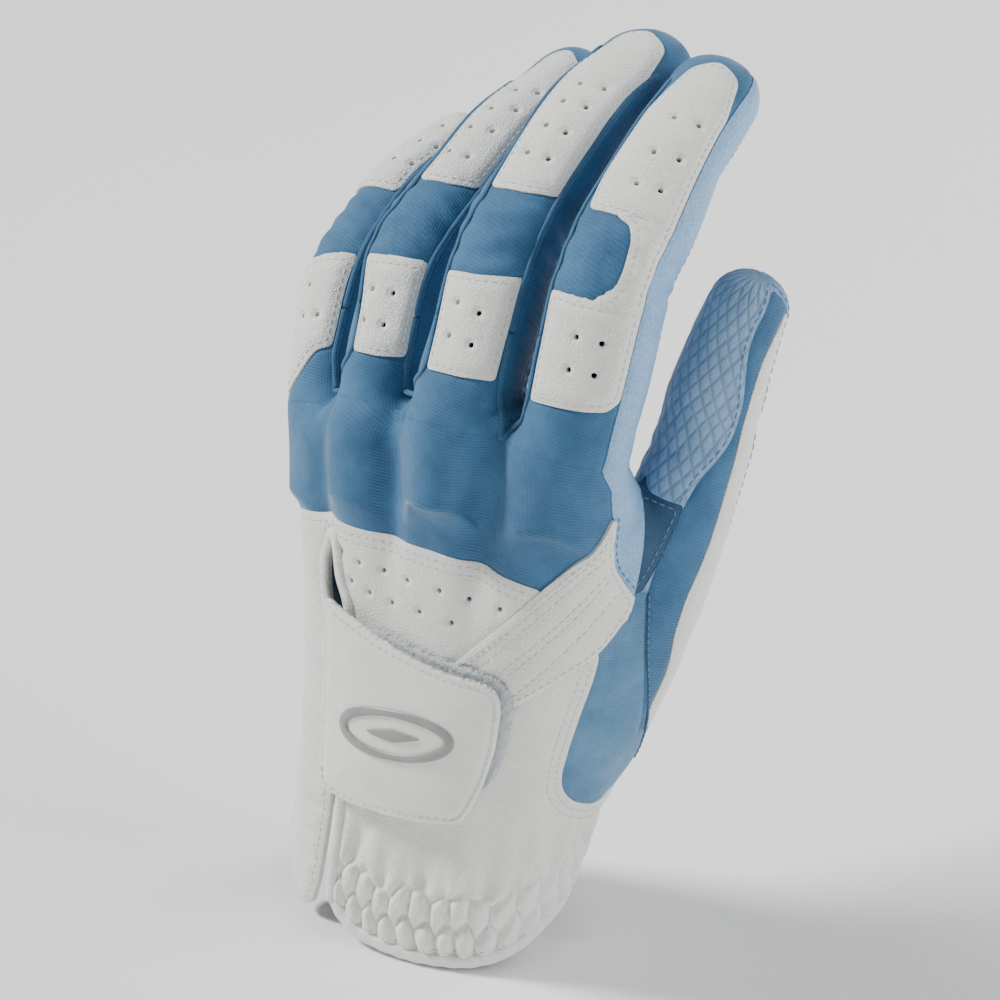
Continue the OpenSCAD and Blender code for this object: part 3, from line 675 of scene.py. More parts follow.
def relief(A):
    """How far the sewn skin stands off its plain form, in millimetres along the normal."""
    P, N = A[:, :3], A[:, 3:6]
    x, z = P[:, 0], P[:, 2]
    out = 0.16 * waves(P, 17, 3)
    back_side = smooth((-N[:, 1] - 0.1) / 0.5) * (A[:, TUBE_F + 4] > 2)
    low = smooth((z - 62) / 34) * smooth((122 - z) / 10)
    for c, lean, deep in ((-20.5, -0.16, 1.9), (-0.8, -0.03, 2.0), (20.6, 0.1, 2.4)):
        out -= deep * back_side * low * bell(x - c - lean * (z - 100), 3.4 - 0.01 * (z - 90))
    for c, lean, high in ((-29, -0.2, 0.3), (-10.5, -0.1, 0.9), (10.5, 0.03, 0.9), (31, 0.12, 0.6)):
        out += high * back_side * smooth((z - 78) / 26) * smooth((126 - z) / 14) * bell(x - c - lean
                * (z - 100), 5.5)
    for i, n in enumerate(NAMES):
        L = FINGERS[n][5]
        s, a, f = A[:, TUBE_S + i], A[:, TUBE_A + i], A[:, TUBE_F + i]
        mine = (f < 2.5) & (s > -3)
        c = np.cos(np.radians(a))
        side = smooth((-c - 0.1) / 0.6)
        r = 0.0
        for q, deep in ((0.5, 0.7), (L[0] - 1.2, 0.65), (L[0] + 2.4, 0.4), (L[0] + L[1], 0.6)):
            r = r - deep * side * bell(s - q - 0.6 * np.sin(a * 0.05 + i), 1.3)
        r = r + 0.35 * side * bell(s - (L[0] + L[1] / 2), 6) + 0.35 * side * bell(s - L[0] / 2 - 1, 5)
        # soft wrinkles in the knit between the patches
        win = smooth((s - BEND[n][0] + 1.5) / 3) * smooth((BEND[n][1] + 1.5 - s) / 3)
        r = r + win * (0.16 * np.sin(2 * math.pi * (s + 1.1 * np.sin(a * 0.055 + i * 2)) / 4.3) - 0.12)
        pinch = smooth((np.abs(a) - 52) / 14) * smooth((108 - np.abs(a)) / 20)
        r = r - 0.45 * pinch * win * bell(s - L[0], 2.6) + 0.3 * bell(s - sum(L) + 9, 6) * smooth(c / 0.7)
        out = np.where(mine, out + r * smooth((s + 3) / 4), out)
    # thumb: creases on the ball and a soft pull at the fold
    s, a, f = A[:, TUBE_S + 4], A[:, TUBE_A + 4], A[:, TUBE_F + 4]
    mine = (f < 3) & (z > 20)
    t = 0.35 * bell(s - THUMB.station(6.1), 5) - 0.4 * bell(s - THUMB.station(5.3) - 0.05 * a,
            1.6) * smooth((np.abs(a) - 40) / 30)
    out = np.where(mine, out + t, out)
    out = out + puffs(A)
    inside = OUT["ulnar_flap"](A)
    th, z = turn(A[:, HAND_A], 270), A[:, 2]
    notch = smooth((th - 226) / 14) * smooth((81 - z) / 4) * smooth(z / 10)
    gather = 0.5 * bell((z + 0.12 * (th - 240)) % 9.5 - 4.7 - 0.7 * np.sin(z * 0.37),
                        1.1) + 0.3 * bell((z * 1.0 + 2.6) % 6.1 - 3, 0.8)
    out = out + (inside < 0) * smooth(-inside / 3) * (0.35 - notch * gather)
    # sewn edges sink under their thread
    tip_i = np.minimum(OUT["index_tip_patch"](A), OUT["bridge"](A))
    for i, n in enumerate(NAMES):
        here = A[:, TUBE_F + i] < 3
        for key in ("_knuckle_patch", "_tip_patch"):
            d = tip_i if n + key == "index_tip_patch" else OUT[n + key](A)
            out = out - 0.2 * here * bell(d + 1.1, 0.45) + 0.1 * here * bell(d + 2.6, 0.9)
    hand = (A[:, HAND_F] < 5) & (A[:, TUBE_F + 4] > 1)
    d = OUT["yoke"](A)
    out = out - 0.16 * hand * (z > 78) * (bell(d + 1.3, 0.4) + bell(d + 2.9, 0.4))
    d = from_strap_top(A)
    strap = hand * (OUT["diagonal_strap"](A) < 0)
    for at in (2.0, 3.5, 7.1, 8.6, 12.4):
        out = out - 0.2 * strap * bell(d - at, 0.42)
    d = OUT["radial_panel"](A)
    lower = hand * (z > 28) * (z < 68) * (OUT["diagonal_strap"](A) > 0)
    out = out - 0.16 * lower * (bell(d - 1.3, 0.4) + bell(d - 2.9, 0.4))
    out = out - 0.2 * hand * bell(OUT["ulnar_flap"](A) + 1.4, 0.5)
    return out


STRAP_TOP = [(284, 61.5), (287.5, 66), (302, 75.4), (315.5, 83.6), (322, 86.8), (329, 89.8), (339.6, 94.6),
             (346, 98.8)]


def from_strap_top(A):
    x, y = arc(turn(A[:, HAND_A], 320)), A[:, 2]
    p = np.array([(arc(a), b) for a, b in STRAP_TOP])
    best = np.full(len(A), 99.0)
    for a, b in zip(p[:-1], p[1:]):
        e = b - a
        t = np.clip(((x - a[0]) * e[0] + (y - a[1]) * e[1]) / (e @ e), 0, 1)
        best = np.minimum(best, np.hypot(x - a[0] - t * e[0], y - a[1] - t * e[1]))
    return best


def quilt(A):
    """Diamonds pressed into the palm leather."""
    u, v = flat_uv(A)
    p = 4.8
    q1, q2 = (u * 0.86 + v * 0.51) / p, (-u * 0.86 + v * 0.51) / p
    g = np.minimum(np.abs(q1 - np.round(q1)), np.abs(q2 - np.round(q2))) * p
    return 0.16 * smooth(g / 1.0) - 0.08


def flat_uv(A):
    """Flat cloth coordinates in millimetres: across, along."""
    i = np.argmin(A[:, TUBE_F:TUBE_F + 5], 1)
    r = np.arange(len(A))
    f, s, a = A[r, TUBE_F + i], A[r, TUBE_S + i], A[r, TUBE_A + i]
    on_tube = np.where(i == 4, f < A[:, HAND_F], s > np.array([FOLD_START[n] for n in NAMES] + [0])[i])
    w = np.array([FINGERS[n][6][1] for n in NAMES] + [9.6])[i] * ARM
    root = np.array([TUBES[k].at(0, 0)[2] for k in range(4)] + [0.0])[i]
    a = np.where(i == 4, turn(a, -90), turn(a, 0))
    u = np.where(on_tube, a * w, arc(turn(A[:, HAND_A], 270)))
    return u, np.where(on_tube, s + root, A[:, 2])


# ------------------------------------------------------------------ cutting the skin into panels
V, T = master()
A = measure(V, normals(V, T))
hole_at = []
tree = BVHTree.FromPolygons(V.tolist(), T.tolist())
for which, a, y in HOLES:
    p = hand_at(y, a) if which < 0 else TUBES[which].at(y, a)
    hit = tree.find_nearest(Vector([float(q) for q in p]))[0]
    hole_at.append(list(hit))
hole_at = np.array(hole_at)
HOLE_R = np.where(np.array([h[0] for h in HOLES]) < 0, 0.5, 0.54)


def to_holes(P):
    """Distance from each point to the rim of the nearest perforation."""
    d = np.full(len(P), 9.0)
    for c, r in zip(hole_at, HOLE_R):
        m = (np.abs(P - c) < 4).all(1)
        d[m] = np.minimum(d[m], np.linalg.norm(P[m] - c, axis=1) - r)
    return d


def cuff_zone(A, extra=0.0):
    th = turn(A[:, HAND_A], 330)
    return (th > 251 - extra) & (th < 409 + extra) & (A[:, 2] < line(SHIR_TOP, th) + 1.5
                                                      + extra) & (A[:, 2] > line(HEM, th) - 1 - extra)


mid = middles(A, T)
A, T = refine(A, T, cuff_zone(mid) | (to_holes(mid[:, :3]) < 1.6))
mid = middles(A, T)
A, T = refine(A, T, to_holes(mid[:, :3]) < 0.9)


def do(f, near):
    global A, T
    A, T = score(A, T, f, near)


z = lambda: A[:, 2]
th330 = lambda: turn(A[:, HAND_A], 330)
tube_f = lambda i: A[:, TUBE_F + i]
tube_s = lambda i: A[:, TUBE_S + i]
tube_a = lambda i: A[:, TUBE_A + i]
for i, n in enumerate(NAMES):
    d = tube_s(i) - FOLD_START[n]
    do(d, (np.abs(d) < 3) & (tube_f(i) < 7) & (z() > 88))
for i in range(3):
    d = tube_f(i) - tube_f(i + 1)
    do(d, (np.abs(d) < 3) & (tube_f(i) < 7) & (z() > 92))
for i, n in enumerate(NAMES):
    d = tube_s(i) - AB
    do(d, (np.abs(d) < 3) & (tube_f(i) < 4) & (z() > 92))
    w = FINGERS[n][6][1] * ARM
    for line_a in ((-112, 58, 112) if i == 0 else (-112, 112)):
        d = (tube_a(i) - line_a) * w
        do(d, (tube_f(i) < 4) & (tube_s(i) > FOLD_START[n] - 2) & (np.abs(d) < 3))
    for k in ("_knuckle_patch", "_tip_patch"):
        d = OUT[n + k](A)
        do(d, (tube_f(i) < 5) & (np.abs(d) < 3) & (np.abs(tube_a(i)) < 80))
d = OUT["bridge"](A)
do(d, (tube_f(0) < 4) & (np.abs(d) < 3) & (np.abs(tube_a(0)) < 90))
d = OUT["side_foot"](A)
do(d, (tube_f(0) < 12) & (np.abs(d) < 3) & (z() > 94) & (A[:, 0] > 25))
d = tube_f(4) - A[:, HAND_F]
do(d, (np.abs(d) < 3) & (z() < 112) & (z() > THUMB_LOW - 3) & (A[:, 0] > 5))
d = tube_s(4) - THUMB_CUT
do(d, (np.abs(d) < 3) & (tube_f(4) < 4) & (tube_f(4) < A[:, HAND_F] + 3))
for k in ("thumb_edge", "thumb_back", "thumb_gusset"):
    d = OUT[k](A)
    do(d, (np.abs(d) < 3) & (tube_f(4) < 5) & (tube_f(4) < A[:, HAND_F] + 3) & (z() > THUMB_LOW - 6))
d = z() - THUMB_LOW
do(d, (np.abs(d) < 2) & (np.abs(turn(A[:, HAND_A], 10)) < 60))
for k in ("ulnar_flap", "slit", "yoke", "diagonal_strap", "radial_panel", "palm_edge"):
    d = OUT[k](A)
    do(d, (np.abs(d) < 3) & (A[:, HAND_F] < 6))
d = z() - line(SHIR_TOP, th330())
do(d, (np.abs(d) < 2) & (th330() > 248) & (th330() < 412))
d = z() - line(HEM, turn(A[:, HAND_A], 385))
do(d, np.abs(d) < 3)
for at, lo, hi in ((424, 20, 97), (176.5, 20, 97), (250, -20, 12), (404, 0, 33)):
    d = (turn(A[:, HAND_A], at) - at) * 0.45
    do(d, (np.abs(d) < 3) & (z() > lo) & (z() < hi))
for level, a0, a1 in ((23.7, 40, 250), (97.5, 30, 180), (31, 380, 430), (77.3, 380, 430), (82.3, 170, 240)):
    d = z() - level
    a = turn(A[:, HAND_A], (a0 + a1) / 2)
    do(d, (np.abs(d) < 2) & (a > a0) & (a < a1))
d = to_holes(A[:, :3])
do(d, np.abs(d) < 2)


def label(C):
    """Which piece each triangle belongs to, from the facts at its middle."""
    out = np.full(len(C), "back_panel", dtype=object)
    th, z = turn(C[:, HAND_A], 360), C[:, 2]      # 180 .. 540
    th_b = turn(C[:, HAND_A], 275)                # 95 .. 455
    palm = (th > 424) & (th < 536.5)
    out[palm] = "palm_panel"
    out[(th >= 536.5) | (th_b < 206)] = "ulnar_side"
    out[((th >= 536.5) | (th_b < 206)) & (z > 82.3)] = "back_panel"
    out[palm] = "palm_panel"
    inside = lambda k: OUT[k](C) < 0
    below = (z < line(SHIR_TOP, turn(C[:, HAND_A], 330)))
    front = (th_b > 236) & (th_b < 404)
    out[front & (z < 80)] = "lower_back"
    out[(th > 404) & (th < 424) & (z < 77.3)] = "palm_panel"
    out[(th > 400) & (th <= 424) & (z >= 31) & (z < 77.3)] = "radial_panel"
    out[inside("radial_panel")] = "radial_panel"
    out[inside("palm_edge") & (z < 104)] = "palm_edge"
    out[(th > 398) & (th <= 424) & (z >= 77.3) & (z < 104)] = "palm_edge"
    out[inside("side_foot") & (z > 97.4) & (C[:, 0] > 30) & (th > 330) & (th < 424)] = "palm_edge"
    out[(th > 404) & (th < 424) & (z < 31)] = "lower_back"
    out[((th > 404) | (th_b < 206)) & (z < 23.7)] = "palm_cuff"
    out[front & below & (z < 30)] = "cuff_shirring"
    out[(th > 404) & (th < 410) & (z < 23.7)] = "palm_cuff"
    out[inside("yoke")] = "yoke"
    out[inside("diagonal_strap")] = "diagonal_strap"
    out[inside("ulnar_flap")] = "ulnar_flap"
    out[(inside("slit") & ~inside("ulnar_flap"))] = "none"
    out[(th_b > 238) & (th_b < 250) & (z < 12) & ~inside("ulnar_flap")] = "none"
    out[(z < line(HEM, turn(C[:, HAND_A], 385))) & ~inside("ulnar_flap")] = "none"
    # thumb
    F = C[:, TUBE_F:TUBE_F + 4].min(1)
    t = (C[:, TUBE_F + 4] < C[:, HAND_F]) & (z > THUMB_LOW) & (C[:, TUBE_F + 4] < F)
    t |= (z > 112) & (C[:, TUBE_F + 4] < F)
    upper = C[:, TUBE_S + 4] > THUMB_CUT
    part = np.where(inside("thumb_edge"), 2, np.where(inside("thumb_back"), 1,
                                                      np.where(inside("thumb_gusset"), 3, 0)))
    names = [("thumb_base_palm", "thumb_palm"), ("thumb_base_back", "thumb_back"),
             ("thumb_base_edge", "thumb_edge"), ("thumb_gusset", "thumb_gusset")]
    for k, (a, b) in enumerate(names):
        out[t & ~upper & (part == k)] = a
        out[t & upper & (part == k)] = b
    ta = turn(C[:, TUBE_A + 4], -90)
    out[t & (part == 0) & (z < 80.5) & (ta > -140) & (ta < 40)] = "radial_panel"
    # fingers
    near = C[:, TUBE_F:TUBE_F + 4].argmin(1)
    for i, n in enumerate(NAMES):
        s, a = C[:, TUBE_S + i], C[:, TUBE_A + i]
        m = (near == i) & (s > FOLD_START[n]) & ~t & (z > 88)
        end = s > AB
        back = np.abs(a) < 112
        out[m & ~end & back] = n + "_low"
        out[m & end & back] = n + "_end"
        out[m & ~end & ~back] = n + "_low_palm"
        out[m & end & ~back] = n + "_end_palm"
        if i == 0:
            out[m & ~end & (a > 58) & (a < 112)] = "index_low_side"
            out[m & end & (a > 58) & (a < 112)] = "index_end_side"
            out[m & (OUT["bridge"](C) < 0)] = "index_tip_patch"
        for k in ("_knuckle_patch", "_tip_patch"):
            out[(near == i) & (z > 88) & (np.abs(a) < 90) & (OUT[n + k](C) < 0)] = n + k
    out[to_holes(C[:, :3]) < 0] = "none"
    return out


mid = middles(A, T)
L = label(mid)
keep = L != "none"
T, L = T[keep], L[keep]
names, L = np.unique(L.astype(str), return_inverse=True)
names = list(names)

FINISH = {  # finish: how far it stands out, how much its edge drops
    "knit": (0.0, 0.22), "palm": (0.2, 0.28), "pale": (0.25, 0.25), "leather": (0.35, 0.3),
    "strap": (0.85, 0.35), "patch": (0.55, 0.35),
    "flap": (0.55, 0.4), "gusset": (-0.1, 0.1),
}


def finish_of(n):
    if n.endswith("_patch"):
        return "patch"
    if n in ("index_low_side", "index_end_side", "palm_edge"):
        return "pale"
    if "palm" in n and n != "palm_cuff":
        return "palm"
    if n in ("yoke", "lower_back", "cuff_shirring", "palm_cuff", "thumb_edge", "thumb_base_edge"):
        return "leather"
    return {"diagonal_strap": "strap", "ulnar_flap": "flap", "thumb_gusset": "gusset"}.get(n, "knit")


finish = [finish_of(n) for n in names]
HARD = [{"radial_panel", "thumb_base_back"}, {"palm_panel", "thumb_base_palm"}, {"yoke", "lower_back"},
        {"lower_back", "palm_cuff"},
        {"cuff_shirring", "palm_cuff"}]


def compact(T):
    used, back = np.unique(T, return_inverse=True)
    return used, back.reshape(-1, 3)


E, edge = edges_of(T, len(A))
first = np.full(len(E), -1)
last = np.full(len(E), -1)
for c in range(3):
    first[edge[:, c]] = L
for c in (2, 1, 0):
    last[edge[::-1, c]] = L[::-1]
count = np.bincount(edge.ravel(), minlength=len(E))
hard = count == 1
two = np.flatnonzero((first != last) & (count == 2))
for e in two:
    a, b = names[first[e]], names[last[e]]
    hard[e] = finish[first[e]] != finish[last[e]] or {a, b} in HARD
REL = relief(A)
far = np.full((len(A), len(FINISH)), 9.0)
group_of = {g: k for k, g in enumerate(FINISH)}
from mathutils.kdtree import KDTree
for g, k in group_of.items():
    tri = np.isin(L, [q for q in range(len(names)) if finish[q] == g])
    if not tri.any():
        continue
    mine = np.unique(T[tri])
    e = np.unique(edge[tri].ravel())
    rim = np.unique(E[e[hard[e]]])
    if not len(rim):
        continue
    kd = KDTree(len(rim))
    for q, v in enumerate(rim):
        kd.insert(A[v, :3], q)
    kd.balance()
    far[mine, k] = [kd.find(p)[2] for p in A[mine, :3].tolist()]

OUTER = {}
for g, k in group_of.items():
    lift, drop = FINISH[g]
    d = far[:, k]
    o = REL + lift - drop * (1 - smooth(d / 1.1)) ** 1.5
    if g == "patch":
        o = o + 0.12 * smooth((d - 0.6) / 4)
    if g == "palm":
        o = o + quilt(A) * smooth(d / 3)
    OUTER[g] = A[:, :3] + A[:, 3:6] * o[:, None]
INNER = A[:, :3] + A[:, 3:6] * (REL * 0.8 - 0.95)[:, None]

REST = {}
PIECE = {}


def make(name, P, F, rest, uv, material, smooth_faces=True):
    me = bpy.data.meshes.new(name)
    me.vertices.add(len(P))
    me.vertices.foreach_set("co", (P / 1000).astype(np.float32).ravel())
    me.loops.add(F.size)
    me.loops.foreach_set("vertex_index", F.astype(np.int32).ravel())
    me.polygons.add(len(F))
    me.polygons.foreach_set("loop_start", np.arange(0, F.size, F.shape[1], dtype=np.int32))
    me.polygons.foreach_set("use_smooth", np.full(len(F), smooth_faces))
    me.update(calc_edges=True)
    for key, value in (("rest", rest), ("flat", uv)):
        at = me.attributes.new(key, "FLOAT_VECTOR", "POINT")
        at.data.foreach_set("vector", np.asarray(value, np.float32).ravel())
    me.materials.append(MATERIALS[material])
    o = bpy.data.objects.new(name, me)
    bpy.context.scene.collection.objects.link(o)
    PIECE[name] = o
    return o


def shell(name, material):
    """A panel with its outer face, cut edges and inner face."""
    k = names.index(name)
    tri = T[L == k]
    used, F = compact(tri)
    g = finish[k]
    top, low = OUTER[g][used], INNER[used]
    n = len(used)
    e = np.vstack([F[:, [0, 1]], F[:, [1, 2]], F[:, [2, 0]]])
    key = e[:, 0].astype(np.int64) * n + e[:, 1]
    other = e[:, 1].astype(np.int64) * n + e[:, 0]
    rim = e[~np.isin(key, other)]
    rv, re = np.unique(rim, return_inverse=True)
    re = re.reshape(-1, 2)
    m = len(rv)
    N = A[used, 3:6]
    # rings down the cut edge: on the outer rim, just under it, and on the inner rim
    r0, r1, r2 = top[rv], top[rv] - N[rv] * 0.3, low[rv]
    P = np.vstack([top, low, r0, r1, r2])
    a, b = re[:, 0], re[:, 1]
    faces = [F, F[:, ::-1] + n]
    for u, v in ((2 * n, 2 * n + m), (2 * n + m, 2 * n + 2 * m)):
        faces += [np.stack([b + u, a + u, a + v], 1), np.stack([b + u, a + v, b + v], 1)]
    src = np.concatenate([used, used, used[rv], used[rv], used[rv]])
    REST[name] = (top, F, used)
    fu, fv = flat_uv(A[src])
    inner = np.concatenate([np.zeros(n), np.ones(n), np.zeros(m), np.zeros(m), np.ones(m)])
    return make(name, P, np.vstack(faces), A[src, :3], np.stack([fu, fv, inner], 1), material)


# ------------------------------------------------------------------ materials
class Graph:
    """Short hand for a node tree."""

    def __init__(self, name):
        self.m = bpy.data.materials.new(name)
        self.m.use_nodes = True
        self.t = self.m.node_tree
        self.t.nodes.clear()
        self.out = self.t.nodes.new("ShaderNodeOutputMaterial")
        self.b = self.t.nodes.new("ShaderNodeBsdfPrincipled")
        self.t.links.new(self.b.outputs[0], self.out.inputs[0])

    def node(self, kind, put=None, **props):
        n = self.t.nodes.new("ShaderNode" + kind)
        for k, v in props.items():
            setattr(n, k, v)
        for k, v in (put or {}).items():
            if hasattr(v, "links"):
                self.t.links.new(v, n.inputs[k])
            else:
                n.inputs[k].default_value = v
        return n

    def attribute(self, name):
        return self.node("Attribute", attribute_name=name).outputs["Vector"]

    def scaled(self, v, s):
        s = (s, s, s) if not hasattr(s, "__len__") else s
        return self.node("VectorMath", {0: v, 1: s}, operation="MULTIPLY").outputs[0]

    def noise(self, v, scale, detail=2.0, rough=0.5):
        return self.node("TexNoise", {"Vector": v, "Scale": scale, "Detail": detail,
                                      "Roughness": rough}).outputs[0]

    def voronoi(self, v, scale, feature="F1", random=1.0):
        return self.node("TexVoronoi", {"Vector": v, "Scale": scale, "Randomness": random},
                         feature=feature).outputs["Distance"]

    def math(self, op, a, b=0.0, c=None, clamp=False):
        put = {0: a, 1: b}
        if c is not None:
            put[2] = c
        return self.node("Math", put, operation=op, use_clamp=clamp).outputs[0]

    def ramp(self, v, a, b, c0, c1):
        n = self.node("ValToRGB", {0: v})
        e = n.color_ramp.elements
        e[0].position, e[1].position = a, b
        e[0].color, e[1].color = (*c0, 1), (*c1, 1)
        return n.outputs[0]

    def blend(self, f, a, b):
        return self.node("MixRGB", {0: f, 1: a, 2: b}).outputs[0]

    def bump(self, height, strength, distance, under=None):
        put = {"Height": height, "Strength": strength, "Distance": distance}
        if under is not None:
            put["Normal"] = under
        return self.node("Bump", put).outputs[0]

    def link(self, socket, name):
        self.t.links.new(socket, self.b.inputs[name])

    def set(self, **kw):
        for k, v in kw.items():
            self.b.inputs[k.replace("_", " ")].default_value = v
        return self.m


def srgb(r, g, b):
    f = lambda c: c / 12.92 if c <= 0.04045 else ((c + 0.055) / 1.055) ** 2.4
    return tuple(f(c / 255) for c in (r, g, b))


def knit(name, dark, light, rib=0.6):
    g = Graph(name)
    flat, rest = g.attribute("flat"), g.attribute("rest")
    sep = g.node("SeparateXYZ", {0: flat})
    u, v = sep.outputs[0], sep.outputs[1]
    wob = g.math("MULTIPLY", g.noise(rest, 0.35), 0.35)
    rows_ = g.math("SINE", g.math("MULTIPLY", g.math("ADD", g.math("ADD", v, g.math("MULTIPLY", u, 0.2)),
                                                     wob), 2 * math.pi / rib))
    cols = g.math("SINE", g.math("MULTIPLY", g.math("ADD", u, g.math("MULTIPLY", v, 0.12)),
                                 2 * math.pi / (rib * 0.9)))
    loops = g.math("ADD", rows_, g.math("MULTIPLY", cols, 0.45))
    fine = g.noise(rest, 5.0, 2.0)
    h = g.math("ADD", loops, g.math("MULTIPLY", fine, 0.8))
    g.link(g.bump(g.noise(rest, 0.3, 3.0), 0.25, 0.0006, g.bump(h, 0.4, 0.00008)), "Normal")
    tone = g.math("ADD", g.math("MULTIPLY", g.noise(rest, 0.12, 4.0, 0.6), 0.7),
                  g.math("MULTIPLY", rows_, 0.05))
    g.link(g.ramp(tone, 0.12, 0.62, dark, light), "Base Color")
    g.link(g.math("ADD", g.math("MULTIPLY", fine, 0.15), 0.62), "Roughness")
    return g.set(Sheen_Weight=0.35, Sheen_Roughness=0.4, Sheen_Tint=(0.75, 0.88, 1, 1),
                 Specular_IOR_Level=0.3)


def grain_leather(name, dark, light, size=1.35, depth=0.0001, rough=0.42):
    """Grained leather: rounded pebbles with fine wrinkles between them."""
    g = Graph(name)
    rest = g.attribute("rest")
    warp = g.node("VectorMath", {0: rest, 1: g.scaled(g.node("TexNoise", {"Vector": rest,
            "Scale": 0.9}).outputs[1], 0.5)}, operation="ADD").outputs[0]
    pebble = g.voronoi(warp, size, "DISTANCE_TO_EDGE")
    pebble = g.math("MINIMUM", g.math("MULTIPLY", pebble, 4.5), 1.0)
    fine = g.noise(rest, 4.5, 3.0, 0.6)
    wide = g.noise(rest, 0.16, 4.0, 0.6)
    h = g.math("ADD", pebble, g.math("MULTIPLY", fine, 0.5))
    g.link(g.bump(g.noise(rest, 0.25, 4.0, 0.6), 0.3, 0.0008, g.bump(h, 0.5, depth)), "Normal")
    tone = g.math("ADD", g.math("MULTIPLY", pebble, 0.35), g.math("MULTIPLY", wide, 0.65))
    g.link(g.ramp(tone, 0.15, 0.75, dark, light), "Base Color")
    g.link(g.math("ADD", g.math("MULTIPLY", pebble, -0.1), g.math("ADD", g.math("MULTIPLY", wide, 0.2),
            rough)), "Roughness")
    return g.set(Specular_IOR_Level=0.42, Subsurface_Weight=0.0)


def quilted_leather(name, dark, light):
    g = Graph(name)
    flat, rest = g.attribute("flat"), g.attribute("rest")
    sep = g.node("SeparateXYZ", {0: flat})
    u, v = sep.outputs[0], sep.outputs[1]
    def groove(a, b, p):
        q = g.math("ADD", g.math("MULTIPLY", u, a / p), g.math("MULTIPLY", v, b / p))
        return g.math("ABSOLUTE", g.math("SUBTRACT", g.math("FRACT", g.math("ADD", q, 0.5)), 0.5))
    g1, g2 = groove(0.86, 0.51, 2.4), groove(-0.86, 0.51, 2.4)
    near = g.math("MINIMUM", g1, g2)
    press = g.math("MINIMUM", g.math("MULTIPLY", near, 4.2), 1.0)
    fine = g.noise(rest, 3.2, 4.0, 0.65)
    cells = g.voronoi(rest, 2.2)
    h = g.math("ADD", press, g.math("ADD", g.math("MULTIPLY", fine, 0.7), g.math("MULTIPLY", cells, 0.5)))
    g.link(g.bump(h, 0.55, 0.0003), "Normal")
    tone = g.math("ADD", g.math("MULTIPLY", press, 0.3), g.math("ADD", g.math("MULTIPLY", g.noise(rest, 0.2,
            4.0), 0.5), g.math("MULTIPLY", fine, 0.25)))
    g.link(g.ramp(tone, 0.25, 0.8, dark, light), "Base Color")
    g.link(g.math("ADD", g.math("MULTIPLY", fine, 0.3), 0.38), "Roughness")
    return g.set(Specular_IOR_Level=0.4)


def fibre(name, dark, light, scale=3.0):
    """Felt loops: a soft tangle of fibres."""
    g = Graph(name)
    rest = g.attribute("rest")
    a = g.noise(g.scaled(rest, (1.0, 1.0, 2.6)), scale, 5.0, 0.7)
    b = g.noise(g.scaled(rest, (2.4, 2.4, 0.8)), scale, 5.0, 0.7)
    h = g.math("MAXIMUM", a, b)
    g.link(g.bump(h, 0.9, 0.0005), "Normal")
    g.link(g.ramp(h, 0.35, 0.75, dark, light), "Base Color")
    return g.set(Roughness=0.9, Sheen_Weight=0.6, Sheen_Roughness=0.5, Specular_IOR_Level=0.2)


def plain(name, dark, light, rough, scale=1.2, bump=0.00006, **more):
    """A smooth finish with faint mottling and fine unevenness."""
    g = Graph(name)
    rest = g.attribute("rest")
    n = g.noise(rest, scale, 4.0, 0.6)
    g.link(g.bump(n, 0.4, bump), "Normal")
    g.link(g.ramp(g.noise(rest, 0.2, 3.0), 0.3, 0.7, dark, light), "Base Color")
    g.link(g.math("ADD", g.math("MULTIPLY", n, 0.2), rough - 0.1), "Roughness")
    return g.set(**more)


MATERIALS = {
    "knit": knit("blue_knit", srgb(40, 84, 120), srgb(70, 122, 162)),
    "knit_light": knit("light_knit", srgb(62, 108, 144), srgb(104, 150, 184)),
    # a darker copy of the blue knit: painted shade, for the thumb's gusset in its crotch and the seam cord
    # under the thumb
    "knit_painted_shade": knit("dark_knit", srgb(36, 66, 94), srgb(60, 94, 126)),
    "leather": grain_leather("white_leather", srgb(224, 225, 220), srgb(240, 241, 237), 1.5, 0.00018),
    "smooth": plain("smooth_white_leather", srgb(230, 230, 226), srgb(240, 240, 236), 0.4, 0.9, 0.00008,
                    Specular_IOR_Level=0.45),
    "palm": quilted_leather("palm_leather", srgb(92, 128, 164), srgb(138, 170, 202)),
    "pale": grain_leather("pale_leather", srgb(112, 156, 198), srgb(146, 184, 220), 1.0, 0.00006, 0.45),
    "cuff": grain_leather("cuff_cloth", srgb(224, 226, 222), srgb(241, 242, 239), 1.7, 0.00009, 0.5),
    "felt": fibre("felt", srgb(196, 210, 216), srgb(232, 239, 242)),
    "hook": plain("hook_plastic", srgb(196, 200, 203), srgb(214, 217, 220), 0.35),
    "badge": plain("badge", srgb(138, 140, 138), srgb(156, 157, 155), 0.35, 1.0, 0.00004,
                   Specular_IOR_Level=0.5),
    # white thread made greyer than the leather: painted shade standing in for the shadow in the stitch dips
    "thread": plain("white_thread", srgb(206, 207, 203), srgb(222, 223, 219), 0.6, 3.0, 0.0001),
    "thread_blue": plain("blue_thread", srgb(66, 106, 142), srgb(100, 142, 176), 0.6, 3.0, 0.0001),
}

LOOK = {"knit": ("knit", "blue_knit"), "palm": ("palm", "palm_leather"), "pale": ("pale", "pale_leather"),
        "leather": ("leather", "white_leather"),
        "strap": ("leather", "white_leather"), "patch": ("leather", "white_leather"),
        "flap": ("leather", "white_leather"),
        # the thumb's gusset takes the knit's painted-shade copy
        "gusset": ("knit_painted_shade", "dark_knit")}
for n in names:
    material, slot = LOOK[finish_of(n)]
    if n in ("cuff_shirring", "palm_cuff"):
        material, slot = "cuff", "cuff_cloth"
    if n == "radial_panel":
        material, slot = "knit_light", "blue_knit"
    shell(n, material)


